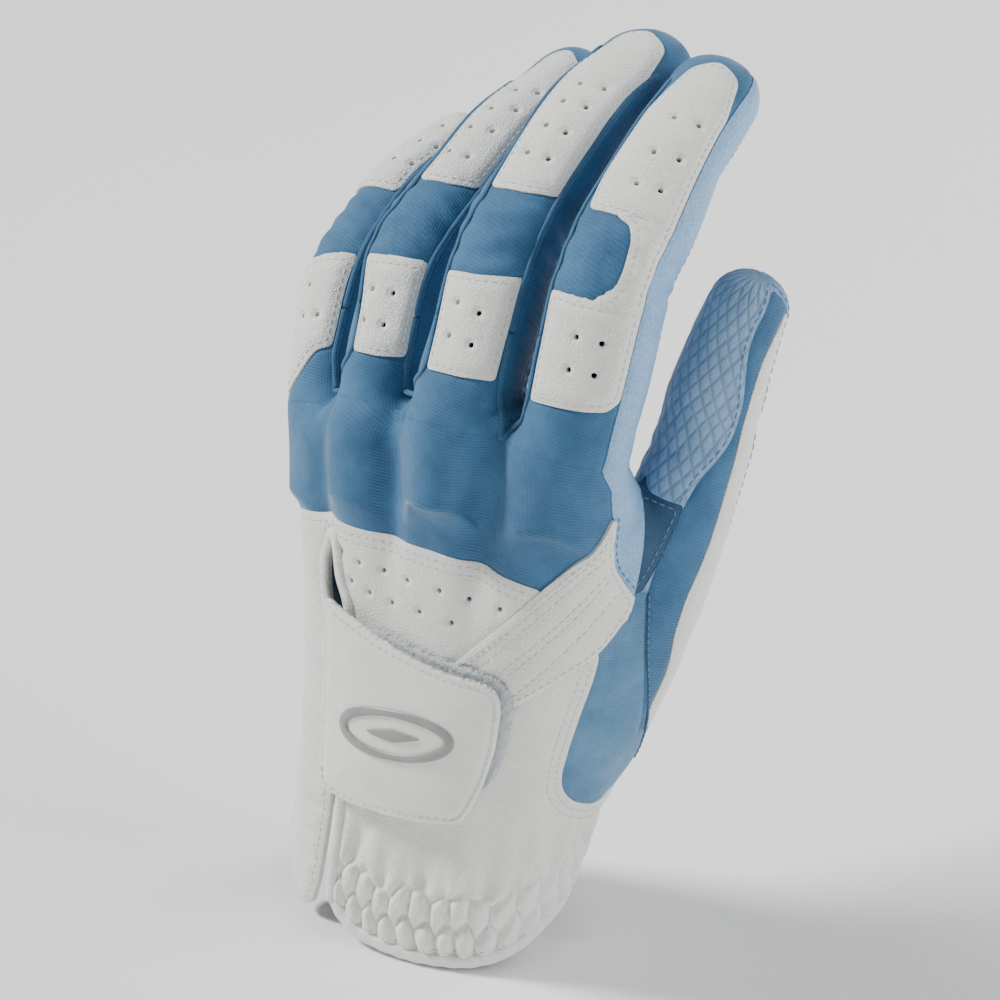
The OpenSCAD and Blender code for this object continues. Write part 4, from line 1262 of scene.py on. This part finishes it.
def blend_of(n):
    """The two bodies a panel bends between, and where along the glove."""
    for i, f in enumerate(NAMES):
        if n.startswith(f):
            tube = TUBES[i]
            if n.split("_")[1] in ("end", "tip"):
                s0, s1 = BEND[f]
                a, b = f + "_low_seg", f + "_end_seg"
            else:
                s0, s1 = FOLD_FROM[f], 9.0
                a, b = "hand", f + "_low_seg"
            g = lambda s: Vector([float(np.interp(s, tube.S, tube.C[:, k])) / 1000 for k in range(3)])
            return a, b, g(s0), g(s1)
    if n.startswith("thumb") and not n.startswith("thumb_base"):
        g = lambda s: Vector([float(np.interp(s, THUMB.S, THUMB.C[:, k])) / 1000 for k in range(3)])
        return "hand", "thumb", g(THUMB.station(4.4)), g(THUMB.station(5.3))
    return None


def attach(o, like):
    """o is tied to the hand when the panel called like has no bend; otherwise o is only baked in place."""
    b = blend_of(like)
    if b:
        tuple(b[2])
        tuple(b[3])
        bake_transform(o)
    else:
        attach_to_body(o, "hand")


for n in names:
    attach(PIECE[n], n)
    if n in frame["nodes"]:
        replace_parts(PIECE[n], n)
for f in NAMES:
    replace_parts(PIECE[f + "_end"], f + "_sleeve")
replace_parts(PIECE["thumb_back"], "thumb_sleeve")


# ------------------------------------------------------------------ bindings, pads and the closing tab
BASE = A[:, :3] + A[:, 3:6] * REL[:, None]
base_tree = BVHTree.FromPolygons(BASE.tolist(), T.tolist())


def settle(X, k):
    """Evens out a run of points or directions."""
    for _ in range(k):
        Y = X.copy()
        Y[1:-1] = (X[:-2] + 2 * X[1:-1] + X[2:]) / 4
        X = Y
    return X


def on_skin(P, lift=0.0, tree_=None, even=2):
    out, N = [], []
    for p in P:
        q, n, _, _ = (tree_ or base_tree).find_nearest(Vector([float(c) for c in p]))
        out.append(list(q))
        N.append(list(n))
    N = unit(settle(np.array(N), even + 3))
    return settle(np.array(out), even) + N * lift, N


def resample(P, step, closed=False):
    if closed:
        P = np.vstack([P, P[:1]])
    d = np.concatenate([[0], np.cumsum(np.linalg.norm(np.diff(P, axis=0), axis=1))])
    n = max(2, int(round(d[-1] / step)))
    t = np.linspace(0, d[-1], n + 1)
    if closed:
        t = t[:-1]
    return np.stack([np.interp(t, d, P[:, k]) for k in range(3)], 1)


def curve_on_hand(table, step=0.7, lift=0.0):
    """A smooth run over the hand through (angle, height) points."""
    t = np.array(table, float)
    q = spline(t, np.linspace(0, len(t) - 1, len(t) * 12))
    return resample(hand_at(q[:, 1], q[:, 0], lift), step)


def band(P, N, half_w, half_h, closed=False, sides=12, power=2.4, taper=True):
    """A flattened rope of material along P: half_w across the surface, half_h off it."""
    D = unit(np.roll(P, -1, 0) - np.roll(P, 1, 0)) if closed else unit(np.gradient(P, axis=0))
    S = unit(np.cross(D, N))
    U = np.cross(S, D)
    a = np.arange(sides) * 2 * math.pi / sides
    c, s = np.cos(a), np.sin(a)
    x, y = np.sign(c) * np.abs(c) ** (2 / power), np.sign(s) * np.abs(s) ** (2 / power)
    k = np.ones(len(P))
    if taper and not closed:
        e = np.minimum(np.arange(len(P)), np.arange(len(P))[::-1])
        k = np.sqrt(np.clip(1 - (1 - np.clip(e / 2.0, 0, 1)) ** 2, 0.02, 1))
    w, h = np.broadcast_to(half_w, len(P)) * k, np.broadcast_to(half_h, len(P)) * k
    R = P[:, None] + (w[:, None] * x)[..., None] * S[:, None] + (h[:, None] * y)[..., None] * U[:, None]
    n = len(P)
    i, j = np.meshgrid(np.arange(n if closed else n - 1), np.arange(sides), indexing="ij")
    i, j = i.ravel(), j.ravel()
    q = lambda a, b: (a % n) * sides + b % sides
    F = np.stack([q(i, j), q(i, j + 1), q(i + 1, j + 1), q(i + 1, j)], 1)
    F = np.vstack([F[:, [0, 1, 2]], F[:, [0, 2, 3]]])
    if not closed:
        F = np.vstack([F, [[0, b + 1, b] for b in range(1, sides - 1)],
                       [[(n - 1) * sides, (n - 1) * sides + b, (n - 1) * sides + b + 1]
                        for b in range(1, sides - 1)]])
    run = np.repeat(np.arange(n) * 0.7, sides)
    uv = np.stack([run, np.tile(a, n) * 1.2, np.zeros(n * sides)], 1)
    return R.reshape(-1, 3), F, uv


def join(parts):
    P, F, U, k = [], [], [], 0
    for p, f, u in parts:
        P.append(p)
        F.append(np.asarray(f) + k)
        U.append(u)
        k += len(p)
    return np.vstack(P), np.vstack(F), np.vstack(U)


def piece(name, parts, material, like="back_panel"):
    P, F, U = join(parts)
    o = make(name, P, F, P, U, material)
    if like == "tab":
        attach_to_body(o, "tab")
    elif like:
        attach(o, like)
    return o


# the hem's folded binding, drawn in a little between the gathers
hem_th = np.linspace(252.6, 565.5, 420)
P = hand_at(line(HEM, hem_th) + 0.75, hem_th)
P, N = on_skin(resample(P, 0.7), -0.3, even=4)
u = np.arange(len(P)) * 0.7
hem = band(P, N, 1.4 + 0.07 * np.sin(u * 1.7), 1.12 + 0.08 * np.sin(u * 1.7 + 1) + 0.05 * np.sin(u * 0.6),
           power=2.8, sides=14)
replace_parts(piece("hem_binding", [hem], "cuff"), "hem_binding")

# the slit's binding: up from the flap, round the top of the slit and down to the hem
loop = [(243.8, 57), (239.6, 64.5), (234.4, 69.6), (232, 74), (232, 78.6), (233.6, 81.6), (236.8, 82.8),
        (241.4, 81), (244.2, 75.4), (248.4, 71.2), (250, 66),
        (250.5, 58), (251.6, 44), (252.4, 28), (253.2, 14), (254, 5.5)]
P, N = on_skin(curve_on_hand(loop), 0.45, even=3)
u = np.arange(len(P)) * 0.7
slit = band(P, N, 1.15 + 0.05 * np.sin(u * 1.1), 0.85, power=2.3)
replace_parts(piece("slit_binding", [slit], "leather"), "slit_binding")


def pad(outline, low, high, crown, soft, step=0.42, bump=None, settle_to=None):
    """A padded piece over the hand within an outline: rounded edges, a crowned top and a flat back."""
    lo, hi = outline.p.min(0) - 1, outline.p.max(0) + 1
    xs, ys = np.arange(lo[0], hi[0], step), np.arange(lo[1], hi[1], step)
    X, Y = np.meshgrid(xs, ys, indexing="ij")
    th = np.interp(X.ravel(), arc(np.arange(150, 400)), np.arange(150, 400))
    R = np.zeros((X.size, 24))
    R[:, 0], R[:, 1], R[:, 2], R[:, HAND_A] = X.ravel(), 0, Y.ravel(), th
    R[:, 5] = 1
    i, j = np.meshgrid(np.arange(len(xs) - 1), np.arange(len(ys) - 1), indexing="ij")
    i, j = i.ravel(), j.ravel()
    q = lambda a, b: a * len(ys) + b
    tri = np.vstack([np.stack([q(i, j), q(i + 1, j), q(i + 1, j + 1)], 1),
                     np.stack([q(i, j), q(i + 1, j + 1), q(i, j + 1)], 1)])
    f = outline(R)
    R, tri = score(R, tri, f, np.abs(f) < 3)
    m = middles(R, tri)
    tri = tri[outline(m) < 0]
    used, tri = compact(tri)
    R = R[used]
    d = np.maximum(-outline(R), 0)
    th, z = np.interp(R[:, 0], arc(np.arange(150, 400)), np.arange(150, 400)), R[:, 2]
    p0, p1 = hand_at(z, th, 0.0), hand_at(z, th, 1.0)
    n = unit(p1 - p0)
    k = np.clip(d / soft, 0, 1)
    edge = np.sqrt(np.clip(1 - (1 - k) ** 2, 0, 1))
    mid_h, half = (low + high) / 2, (high - low) / 2
    top = mid_h + half * edge + crown * smooth(d / 9)
    bot = mid_h - half * edge
    if bump is not None:
        top = top + bump(th, z, d)
    base = 0.0 if settle_to is None else settle_to(th, z)
    P = np.vstack([p0 + n * (top + base)[:, None], p0 + n * (bot + base)[:, None]])
    k = len(R)
    e = np.vstack([tri[:, [0, 1]], tri[:, [1, 2]], tri[:, [2, 0]]])
    rim = e[~np.isin(e[:, 0].astype(np.int64) * k + e[:, 1], e[:, 1].astype(np.int64) * k + e[:, 0])]
    F = np.vstack([tri, tri[:, ::-1] + k, np.stack([rim[:, 1], rim[:, 0], rim[:, 0] + k], 1),
                   np.stack([rim[:, 1], rim[:, 0] + k, rim[:, 1] + k], 1)])
    U = np.stack([np.tile(R[:, 0], 2), np.tile(z, 2), np.repeat([0.0, 1.0], k)], 1)
    return (P, F, U), (p0 + n * (top + base)[:, None], tri)


LOOP_PAD = Outline([(257, 60), (262, 69), (270, 67.8), (283, 66.6), (296, 66), (306, 64.6), (311, 62),
                    (313.2, 58), (312.6, 50), (311, 43.5), (307, 40.6), (300, 39),
                    (262, 38)], 2.2)
TAB = Outline([(242.5, 72), (249, 70.9), (257.5, 69.6), (266.5, 67.7), (275.5, 66.2), (286, 65),
               (296, 64.6), (304, 63.6), (307.6, 60), (308, 50), (305.5, 42),
               (302, 36.6), (298, 33), (284, 32), (272, 31.2), (258, 30.8), (247.5, 31.6), (245.6, 34.5),
               (244.4, 50)], 2.6)
(pl, _) = pad(LOOP_PAD, 0.45, 1.75, 0.0, 0.55, 0.4,
                 bump=lambda th, z, d: 0.16 * np.sin(arc(th) * 5.1 + 2 * np.sin(z * 3))
                 * np.sin(z * 4.7 + 1.5 * np.sin(arc(th) * 2.3)))
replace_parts(piece("loop_pad", [pl], "felt"), "loop_pad")


def tab_dip(th, z, d):
    """A faint sewn channel inside the edge, and slack between the corners."""
    return -0.28 * bell(d - 1.25, 0.55) + 0.16 * np.sin(arc(th) * 0.21 + 1.0) * smooth(d / 6) * np.sin(z
            * 0.17)


(pt, tab_top) = pad(TAB, 1.95, 3.7, 0.55, 0.85, 0.4, bump=tab_dip)
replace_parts(piece("closing_tab", [pt], "smooth", "tab"), "closing_tab")
HOOKS = Outline([(262, 36.5), (300, 37.5), (301, 61), (262, 63)], 2.0)
(ph, _) = pad(HOOKS, 1.6, 2.05, 0.0, 0.2, 0.5, bump=lambda th, z, d: 0)
hook_rows = []
stem = band(np.array([[0, 0, 0], [0, 0, 0.25], [0.06, 0, 0.5], [0.2, 0, 0.62], [0.32, 0, 0.5]]),
            np.array([[0, 1.0, 0]] * 5), 0.1, 0.1, sides=5, power=2, taper=False)
for k, zz in enumerate(np.arange(38.5, 60.6, 1.15)):
    for a in np.arange(265 + 0.9 * (k % 2), 298.5, 2.3):
        p, q = hand_at(zz, a, 1.62), hand_at(zz, a, 0.9)
        n = unit(q - p)
        x = unit(np.cross(n, [0, 0, 1.0]))
        y = np.cross(n, x)
        M = np.stack([x * (1 if k % 2 else -1), y, n], 0)
        hook_rows.append((p + stem[0] @ M, stem[1], stem[2]))
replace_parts(piece("hook_pad", [ph] + hook_rows, "hook", "tab"), "hook_pad")

# a plain raised oval with a small lozenge in it: a generic mark
tab_tree = BVHTree.FromPolygons(tab_top[0].tolist(), tab_top[1].tolist())
MARK_TH, MARK_Z, MARK_W, MARK_H, MARK_TILT = 272.5, 49.5, 10.6, 4.6, 0.16


def mark_ring(w, h, n=90):
    a = np.arange(n) * 2 * math.pi / n
    x, y = w * np.cos(a), h * np.sin(a)
    return (arc(MARK_TH) + x * math.cos(MARK_TILT) - y * math.sin(MARK_TILT),
            MARK_Z + x * math.sin(MARK_TILT) + y * math.cos(MARK_TILT))


def tab_point(x, y, lift):
    th = np.interp(x, arc(np.arange(150, 400)), np.arange(150, 400))
    return on_skin(hand_at(y, th, 4.2), lift, tab_tree, even=0)


parts = []
P, N = tab_point(*mark_ring(MARK_W, MARK_H), 0.12)
parts.append(band(P, N, 0.75 + 0.35 * np.abs(np.cos(np.arange(len(P)) * 2 * math.pi / len(P))), 0.42,
                  closed=True, power=2.2))
t = np.linspace(-1, 1, 31)
x, y = arc(MARK_TH) + 5.2 * t * math.cos(MARK_TILT), MARK_Z + 5.2 * t * math.sin(MARK_TILT)
P, N = tab_point(x, y, 0.12)
parts.append(band(P, N, 0.1 + 1.35 * (1 - np.abs(t)) ** 0.8, 0.1 + 0.4 * (1 - np.abs(t)) ** 0.5,
                  taper=False, power=2.2))
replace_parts(piece("tab_badge", parts, "badge", "tab"), "tab_badge")


# ------------------------------------------------------------------ stitches
def trace(name, f, level):
    """Runs of points where a field equals level on a panel's outer face."""
    k = names.index(name)
    tri = T[L == k]
    used, F = compact(tri)
    v = f(A[used]) - level
    v[np.abs(v) < 1e-9] = 1e-9
    top = OUTER[finish[k]][used]
    E, edge = edges_of(F, len(used))
    x = v[E[:, 0]] * v[E[:, 1]] < 0
    t = np.where(x, v[E[:, 0]] / np.where(x, v[E[:, 0]] - v[E[:, 1]], 1), 0)[:, None]
    P = top[E[:, 0]] * (1 - t) + top[E[:, 1]] * t
    N = unit(A[used][E[:, 0], 3:6] + A[used][E[:, 1], 3:6])
    R = mix(A[used][E[:, 0]], A[used][E[:, 1]], t[:, 0])
    links = {}
    for row in edge[x[edge].sum(1) == 2]:
        a, b = [e for e in row if x[e]]
        links.setdefault(a, []).append(b)
        links.setdefault(b, []).append(a)
    seen, runs = set(), []
    starts = [e for e in links if len(links[e]) == 1] + list(links)
    for s in starts:
        if s in seen:
            continue
        run, at = [s], s
        seen.add(s)
        while True:
            nxt = [e for e in links[at] if e not in seen]
            if not nxt:
                break
            at = nxt[0]
            seen.add(at)
            run.append(at)
        if len(run) > 4:
            if len(links[s]) == 2 and s in links[run[-1]]:
                run.append(s)
            run = np.array(run)
            runs.append((P[run], N[run], R[run]))
    return runs


def capsule():
    rings_ = [(-1, 0.0), (-0.93, 0.55), (-0.72, 0.9), (0, 1.0), (0.72, 0.9), (0.93, 0.55), (1, 0.0)]
    n = 6
    P = [(x, r * math.cos(2 * math.pi * k / n), r * math.sin(2 * math.pi * k / n)) for x,
         r in rings_ for k in range(n)]
    F = []
    for i in range(len(rings_) - 1):
        for k in range(n):
            a, b, c, d = i * n + k, i * n + (k + 1) % n, (i + 1) * n + (k + 1) % n, (i + 1) * n + k
            F += [(a, d, c), (a, c, b)]
    return np.array(P, float), np.array(F)


CAP = capsule()
THREADS = {}


def sew(runs, like, thread="thread", keep=None, pitch=1.65, length=1.1, radius=0.15, lift=0.03, name=None):
    """Lays stitches along runs of surface points. like is the panel whose motion they share."""
    for P, N, R in runs:
        if keep is not None:
            m = keep(R)
            cuts = np.flatnonzero(np.diff(m.astype(int))) + 1
            groups = [g for g in np.split(np.arange(len(P)), cuts) if m[g[0]] and len(g) > 4]
        else:
            groups = [np.arange(len(P))]
        for g in groups:
            p, n = settle(P[g], 3), N[g]
            d = np.concatenate([[0], np.cumsum(np.linalg.norm(np.diff(p, axis=0), axis=1))])
            k = int(d[-1] / pitch)
            if k < 2:
                continue
            c = (np.arange(k) + 0.5) * d[-1] / k
            at = lambda q, X: np.stack([np.interp(q, d, X[:, j]) for j in range(3)], 1)
            a, b = at(c - length / 2, p), at(c + length / 2, p)
            n = unit(at(c, n))
            x = unit(b - a)
            y = unit(np.cross(n, x))
            n = np.cross(x, y)
            mid_ = (at(c, p) * 2 + a + b) / 4 + n * lift
            half = np.linalg.norm(b - a, axis=1) / 2
            Q = (mid_[:, None] + CAP[0][None, :, :1] * half[:, None, None] * x[:, None]
                 + CAP[0][None, :, 1:2] * radius * y[:, None]
                 + CAP[0][None, :, 2:] * radius * n[:, None])
            F = (CAP[1][None] + np.arange(k)[:, None, None] * len(CAP[0])).reshape(-1, 3)
            key = (name or like + "_stitches", like, thread)
            THREADS.setdefault(key, []).append((Q.reshape(-1, 3), F,
                                                np.repeat(np.stack([c, c * 0, c * 0], 1), len(CAP[0]), 0)))


for i, f in enumerate(NAMES):
    s1, s2 = BEND[f]
    sew(trace(f + "_knuckle_patch", OUT[f + "_knuckle_patch"], -1.1), f + "_knuckle_patch")
    if f == "index":
        both = lambda R: np.minimum(OUT["index_tip_patch"](R), OUT["bridge"](R))
        sew(trace("index_tip_patch", both, -1.1), "index_tip_patch")
    else:
        sew(trace(f + "_tip_patch", OUT[f + "_tip_patch"], -1.1), f + "_tip_patch")
for level in (-1.3, -2.9):
    sew(trace("yoke", OUT["yoke"], level), "yoke", keep=lambda R: (R[:, 2] > 79.5)
        & (turn(R[:, HAND_A], 270) > 238))
sew(trace("diagonal_strap", OUT["diagonal_strap"], -1.1), "diagonal_strap")
for level in (2.0, 3.5, 7.1, 8.6, 12.4):
    sew(trace("diagonal_strap", from_strap_top, level), "diagonal_strap",
        keep=lambda R: OUT["diagonal_strap"](R) < -1.9)
for level in (1.3, 2.9):
    sew(trace("lower_back", OUT["radial_panel"], level), "lower_back",
        keep=lambda R: (R[:, 2] > 28.5) & (R[:, 2] < 68))
sew(trace("ulnar_flap", OUT["ulnar_flap"], -1.4), "ulnar_flap", keep=lambda R: R[:, 2] < 84)
sew(trace("cuff_shirring", lambda R: R[:, 2] - line(HEM, turn(R[:, HAND_A], 330)), 2.75), "cuff_shirring",
    pitch=1.7, length=1.2, radius=0.16)
sew(trace("palm_cuff", lambda R: R[:, 2], 22.6), "palm_cuff")
sew(trace("palm_cuff", lambda R: R[:, 2] - line(HEM, turn(R[:, HAND_A], 385)), 2.8), "palm_cuff")
sew(trace("thumb_gusset", OUT["thumb_gusset"], -1.0), "thumb_gusset", "thread_blue")
sew(trace("thumb_palm", OUT["thumb_back"], 1.2), "thumb_palm", "thread_blue", pitch=1.9, length=1.3,
    radius=0.16)
sew(trace("palm_edge", OUT["palm_edge"], -0.9), "palm_edge", "thread_blue", keep=lambda R: R[:, 2] < 99,
    pitch=1.8, length=1.2, radius=0.15)
sew(trace("palm_panel", lambda R: R[:, 2], 25.2), "palm_panel", "thread_blue")
sew(trace("ulnar_side", lambda R: (turn(R[:, HAND_A], 176.5) - 176.5) * 0.45, 1.1), "ulnar_side",
    "thread_blue", keep=lambda R: R[:, 2] < 97)
for i, f in enumerate(NAMES):
    w = FINGERS[f][6][1] * ARM
    for part in ("_low_palm", "_end_palm"):
        if f + part in names:
            for sgn in (-1, 1):
                sew(trace(f + part, lambda R: sgn * turn(R[:, TUBE_A + i], sgn * 180) * w, (112 * w) + 1.0),
                    f + part, "thread_blue",
                    pitch=1.9, length=1.3, radius=0.15)
# the seams of the finger sides, meeting in a V at each crotch:
# place of the V, then station and angle up each finger
VS = (
    ((20.6, -7.8, 109.7), 1, ((-1.7, 74), (3, 64), (11, 61), (22, 59), (33, 58), (47, 58), (60, 58),
                              (70, 58)),
     0, ((-3.5, -63), (1, -47), (10, -53), (21, -55), (30, -53), (47, -52), (60, -50), (66, -46))),
    ((-3.6, -4.9, 112.2), 2, ((2.4, 62), (5, 58), (22, 56), (38, 60), (52, 60), (66, 56)),
     1, ((-0.6, -60), (2.3, -31), (10, -38), (20.6, -42), (29, -33), (34.4, -29), (50, -34), (66, -38),
         (72, -36))),
    ((-25.2, 1.5, 104), 3, ((1, 55), (5, 52), (21.5, 58), (36, 54), (50, 52)),
     2, ((-0.5, -55), (4, -17), (13, -30), (21.5, -38), (28, -26), (34.2, -20), (50, -26), (64, -30))),
)
for bottom, *arms in VS:
    for i, path in (arms[:2], arms[2:]):
        f = NAMES[i]
        pts = np.array([TUBES[i].at(s, a) for s, a in path])
        start = [base_tree.find_nearest(Vector(bottom))[0]]
        pts = np.vstack([start, pts])
        P = resample(spline(pts, np.linspace(0, len(pts) - 1, len(pts) * 10)), 0.7)
        P, N = on_skin(P, 0.12, even=3)
        s = TUBES[i].coords(P)[0]
        cut = int(np.argmax(s > AB))
        for part, sl in (("_low", slice(0, cut + 1)), ("_end", slice(cut, None))):
            if len(P[sl]) > 3:
                piece("%s_seam%s_%s" % (f, part, "right" if path[-1][1] > 0 else "left"),
                      [band(P[sl], N[sl], 0.62, 0.42, sides=8, power=2, taper=part == "_end")],
                      "knit", f + part)
# the seam down the panel under the thumb
P = spline(np.array([(44.2, 5, 80), (43.4, 6, 72), (42.8, 7.1, 65), (40.5, 10.5, 54), (37.8, 14.7, 44),
                     (35.5, 17, 36)]), np.linspace(0, 5, 60))
P, N = on_skin(resample(P, 0.7), 0.0, even=3)
# the seam cord takes the knit's painted-shade copy, a painted shade line
piece("radial_seam", [band(P, N, 0.35, 0.22, sides=6, power=2)], "knit_painted_shade", "radial_panel")
row = measure(P + N * 0.25, N)
sew([(P + N * 0.15, N, row)], "radial_panel", "thread_blue", name="radial_seam_thread")
# round the tab
x = np.vstack([TAB.p, TAB.p[:1]])
d = np.concatenate([[0], np.cumsum(np.linalg.norm(np.diff(x, axis=0), axis=1))])
q = np.linspace(0, d[-1], 500)
x = np.stack([np.interp(q, d, x[:, k]) for k in range(2)], 1)
tangent = np.gradient(x, axis=0)
inward = np.stack([-tangent[:, 1], tangent[:, 0]], 1) / np.linalg.norm(tangent, axis=1)[:, None]
winding = np.sum(x[:-1, 0] * x[1:, 1] - x[1:, 0] * x[:-1, 1])
x = x + 1.25 * inward * np.sign(winding)
x = x[outline_distance(x[:, 0], x[:, 1], TAB.p) < -0.9]
P, N = tab_point(x[:, 0], x[:, 1], 0.0)
row = np.zeros((len(P), 24))
row[:, HAND_A] = np.interp(x[:, 0], arc(np.arange(150, 400)), np.arange(150, 400))
row[:, 2] = P[:, 2]
sew([(P, N, row)], "tab", keep=lambda R: turn(R[:, HAND_A], 270) > 248)
for (name, like, thread), parts in THREADS.items():
    piece(name, parts, thread, like)


# ------------------------------------------------------------------ soft goods
SHEET_SHARE = 0.34  # least share of width times length that a sheet's area may be
NARROWEST_SHEET = 0.011  # metres


def declare_sheet(n):
    """Works out a panel's area, width and length as a sheet; nothing is declared with them. Its area is its
    finished outer face, not a measured cut.

    Its width and length are its arc and height on the hand, enlarged where the area would exceed their
    product, and its width is capped so that the area stays over SHEET_SHARE of that product.
    """
    top, F, used = REST[n]
    middle = math.degrees(math.atan2(np.sin(np.radians(A[used, HAND_A])).mean(),
                                     np.cos(np.radians(A[used, HAND_A])).mean()))
    u, v = arc(turn(A[used, HAND_A], middle)), A[used, 2]
    w, l = (np.percentile(u, 99.5) - np.percentile(u, 0.5)) / 1000, (np.percentile(v, 99.5)
            - np.percentile(v, 0.5)) / 1000
    area = np.linalg.norm(np.cross(top[F[:, 1]] - top[F[:, 0]], top[F[:, 2]] - top[F[:, 0]]),
                          axis=1).sum() / 2e6
    k = math.sqrt(max(1.0, 1.01 * area / (w * l)))
    w, l = w * k, l * k
    w = max(min(w, area / (SHEET_SHARE * l)), NARROWEST_SHEET)


for n in ("back_panel", "palm_panel", "lower_back", "yoke", "diagonal_strap", "cuff_shirring", "palm_cuff",
          "ulnar_side", "radial_panel"):
    declare_sheet(n)


# ------------------------------------------------------------------ camera, light and floor
AZ, EL, ROLL, DISTANCE = math.radians(35), math.radians(26), math.radians(0.3), 0.81
back = Vector((math.sin(AZ) * math.cos(EL), -math.cos(AZ) * math.cos(EL), math.sin(EL)))
right = Vector((math.cos(AZ), math.sin(AZ), 0))
up = back.cross(right)
right, up = right * math.cos(ROLL) + up * math.sin(ROLL), up * math.cos(ROLL) - right * math.sin(ROLL)
target = Vector((0, 0, 0.09)) + right * 0.01147 - up * 0.00116
cam = bpy.data.objects.new("camera", bpy.data.cameras.new("camera"))
cam.data.sensor_width, cam.data.lens = 36, 155.4
from mathutils import Matrix
cam.matrix_world = Matrix((
    (right[0], up[0], back[0], target[0] + back[0] * DISTANCE),
    (right[1], up[1], back[1], target[1] + back[1] * DISTANCE),
    (right[2], up[2], back[2], target[2] + back[2] * DISTANCE), (0, 0, 0, 1)))
cam.data.clip_start, cam.data.clip_end = 0.01, 50
bpy.context.scene.collection.objects.link(cam)
bpy.context.scene.camera = cam

me = bpy.data.meshes.new("floor")
me.from_pydata([(-6, -6, -0.001), (6, -6, -0.001), (6, 6, -0.001), (-6, 6, -0.001)], [], [(0, 1, 2, 3)])
floor = bpy.data.objects.new("floor", me)
g = Graph("floor")
g.link(g.ramp(g.noise(g.node("TexCoord").outputs["Object"], 3.0), 0.3, 0.7, (0.92, 0.92, 0.92),
              (0.95, 0.95, 0.95)), "Base Color")
me.materials.append(g.set(Roughness=0.9))
bpy.context.scene.collection.objects.link(floor)


def light(kind, name, place, aim, size, power, colour=(1, 1, 1)):
    d = bpy.data.lights.new(name, kind)
    d.energy, d.color = power, colour
    if kind == "SUN":
        d.angle = math.radians(size)
    else:
        d.shape, d.size = "DISK", size
    o = bpy.data.objects.new(name, d)
    o.location = place
    o.rotation_euler = (Vector(aim) - Vector(place)).to_track_quat("-Z", "Y").to_euler()
    bpy.context.scene.collection.objects.link(o)


light("SUN", "key", (-0.75, -0.3, 0.85), (0, 0, 0.1), 12, 4.3, (1, 0.995, 0.98))
light("AREA", "right", (0.95, 0.2, 0.6), (0, 0, 0.09), 0.7, 6.0)
light("AREA", "rim", (0.5, 0.8, 0.8), (0, 0, 0.12), 0.5, 4.0)
world = bpy.data.worlds.new("studio")
world.use_nodes = True
world.node_tree.nodes["Background"].inputs[0].default_value = (1, 1, 1, 1)
world.node_tree.nodes["Background"].inputs[1].default_value = 0.3
bpy.context.scene.world = world
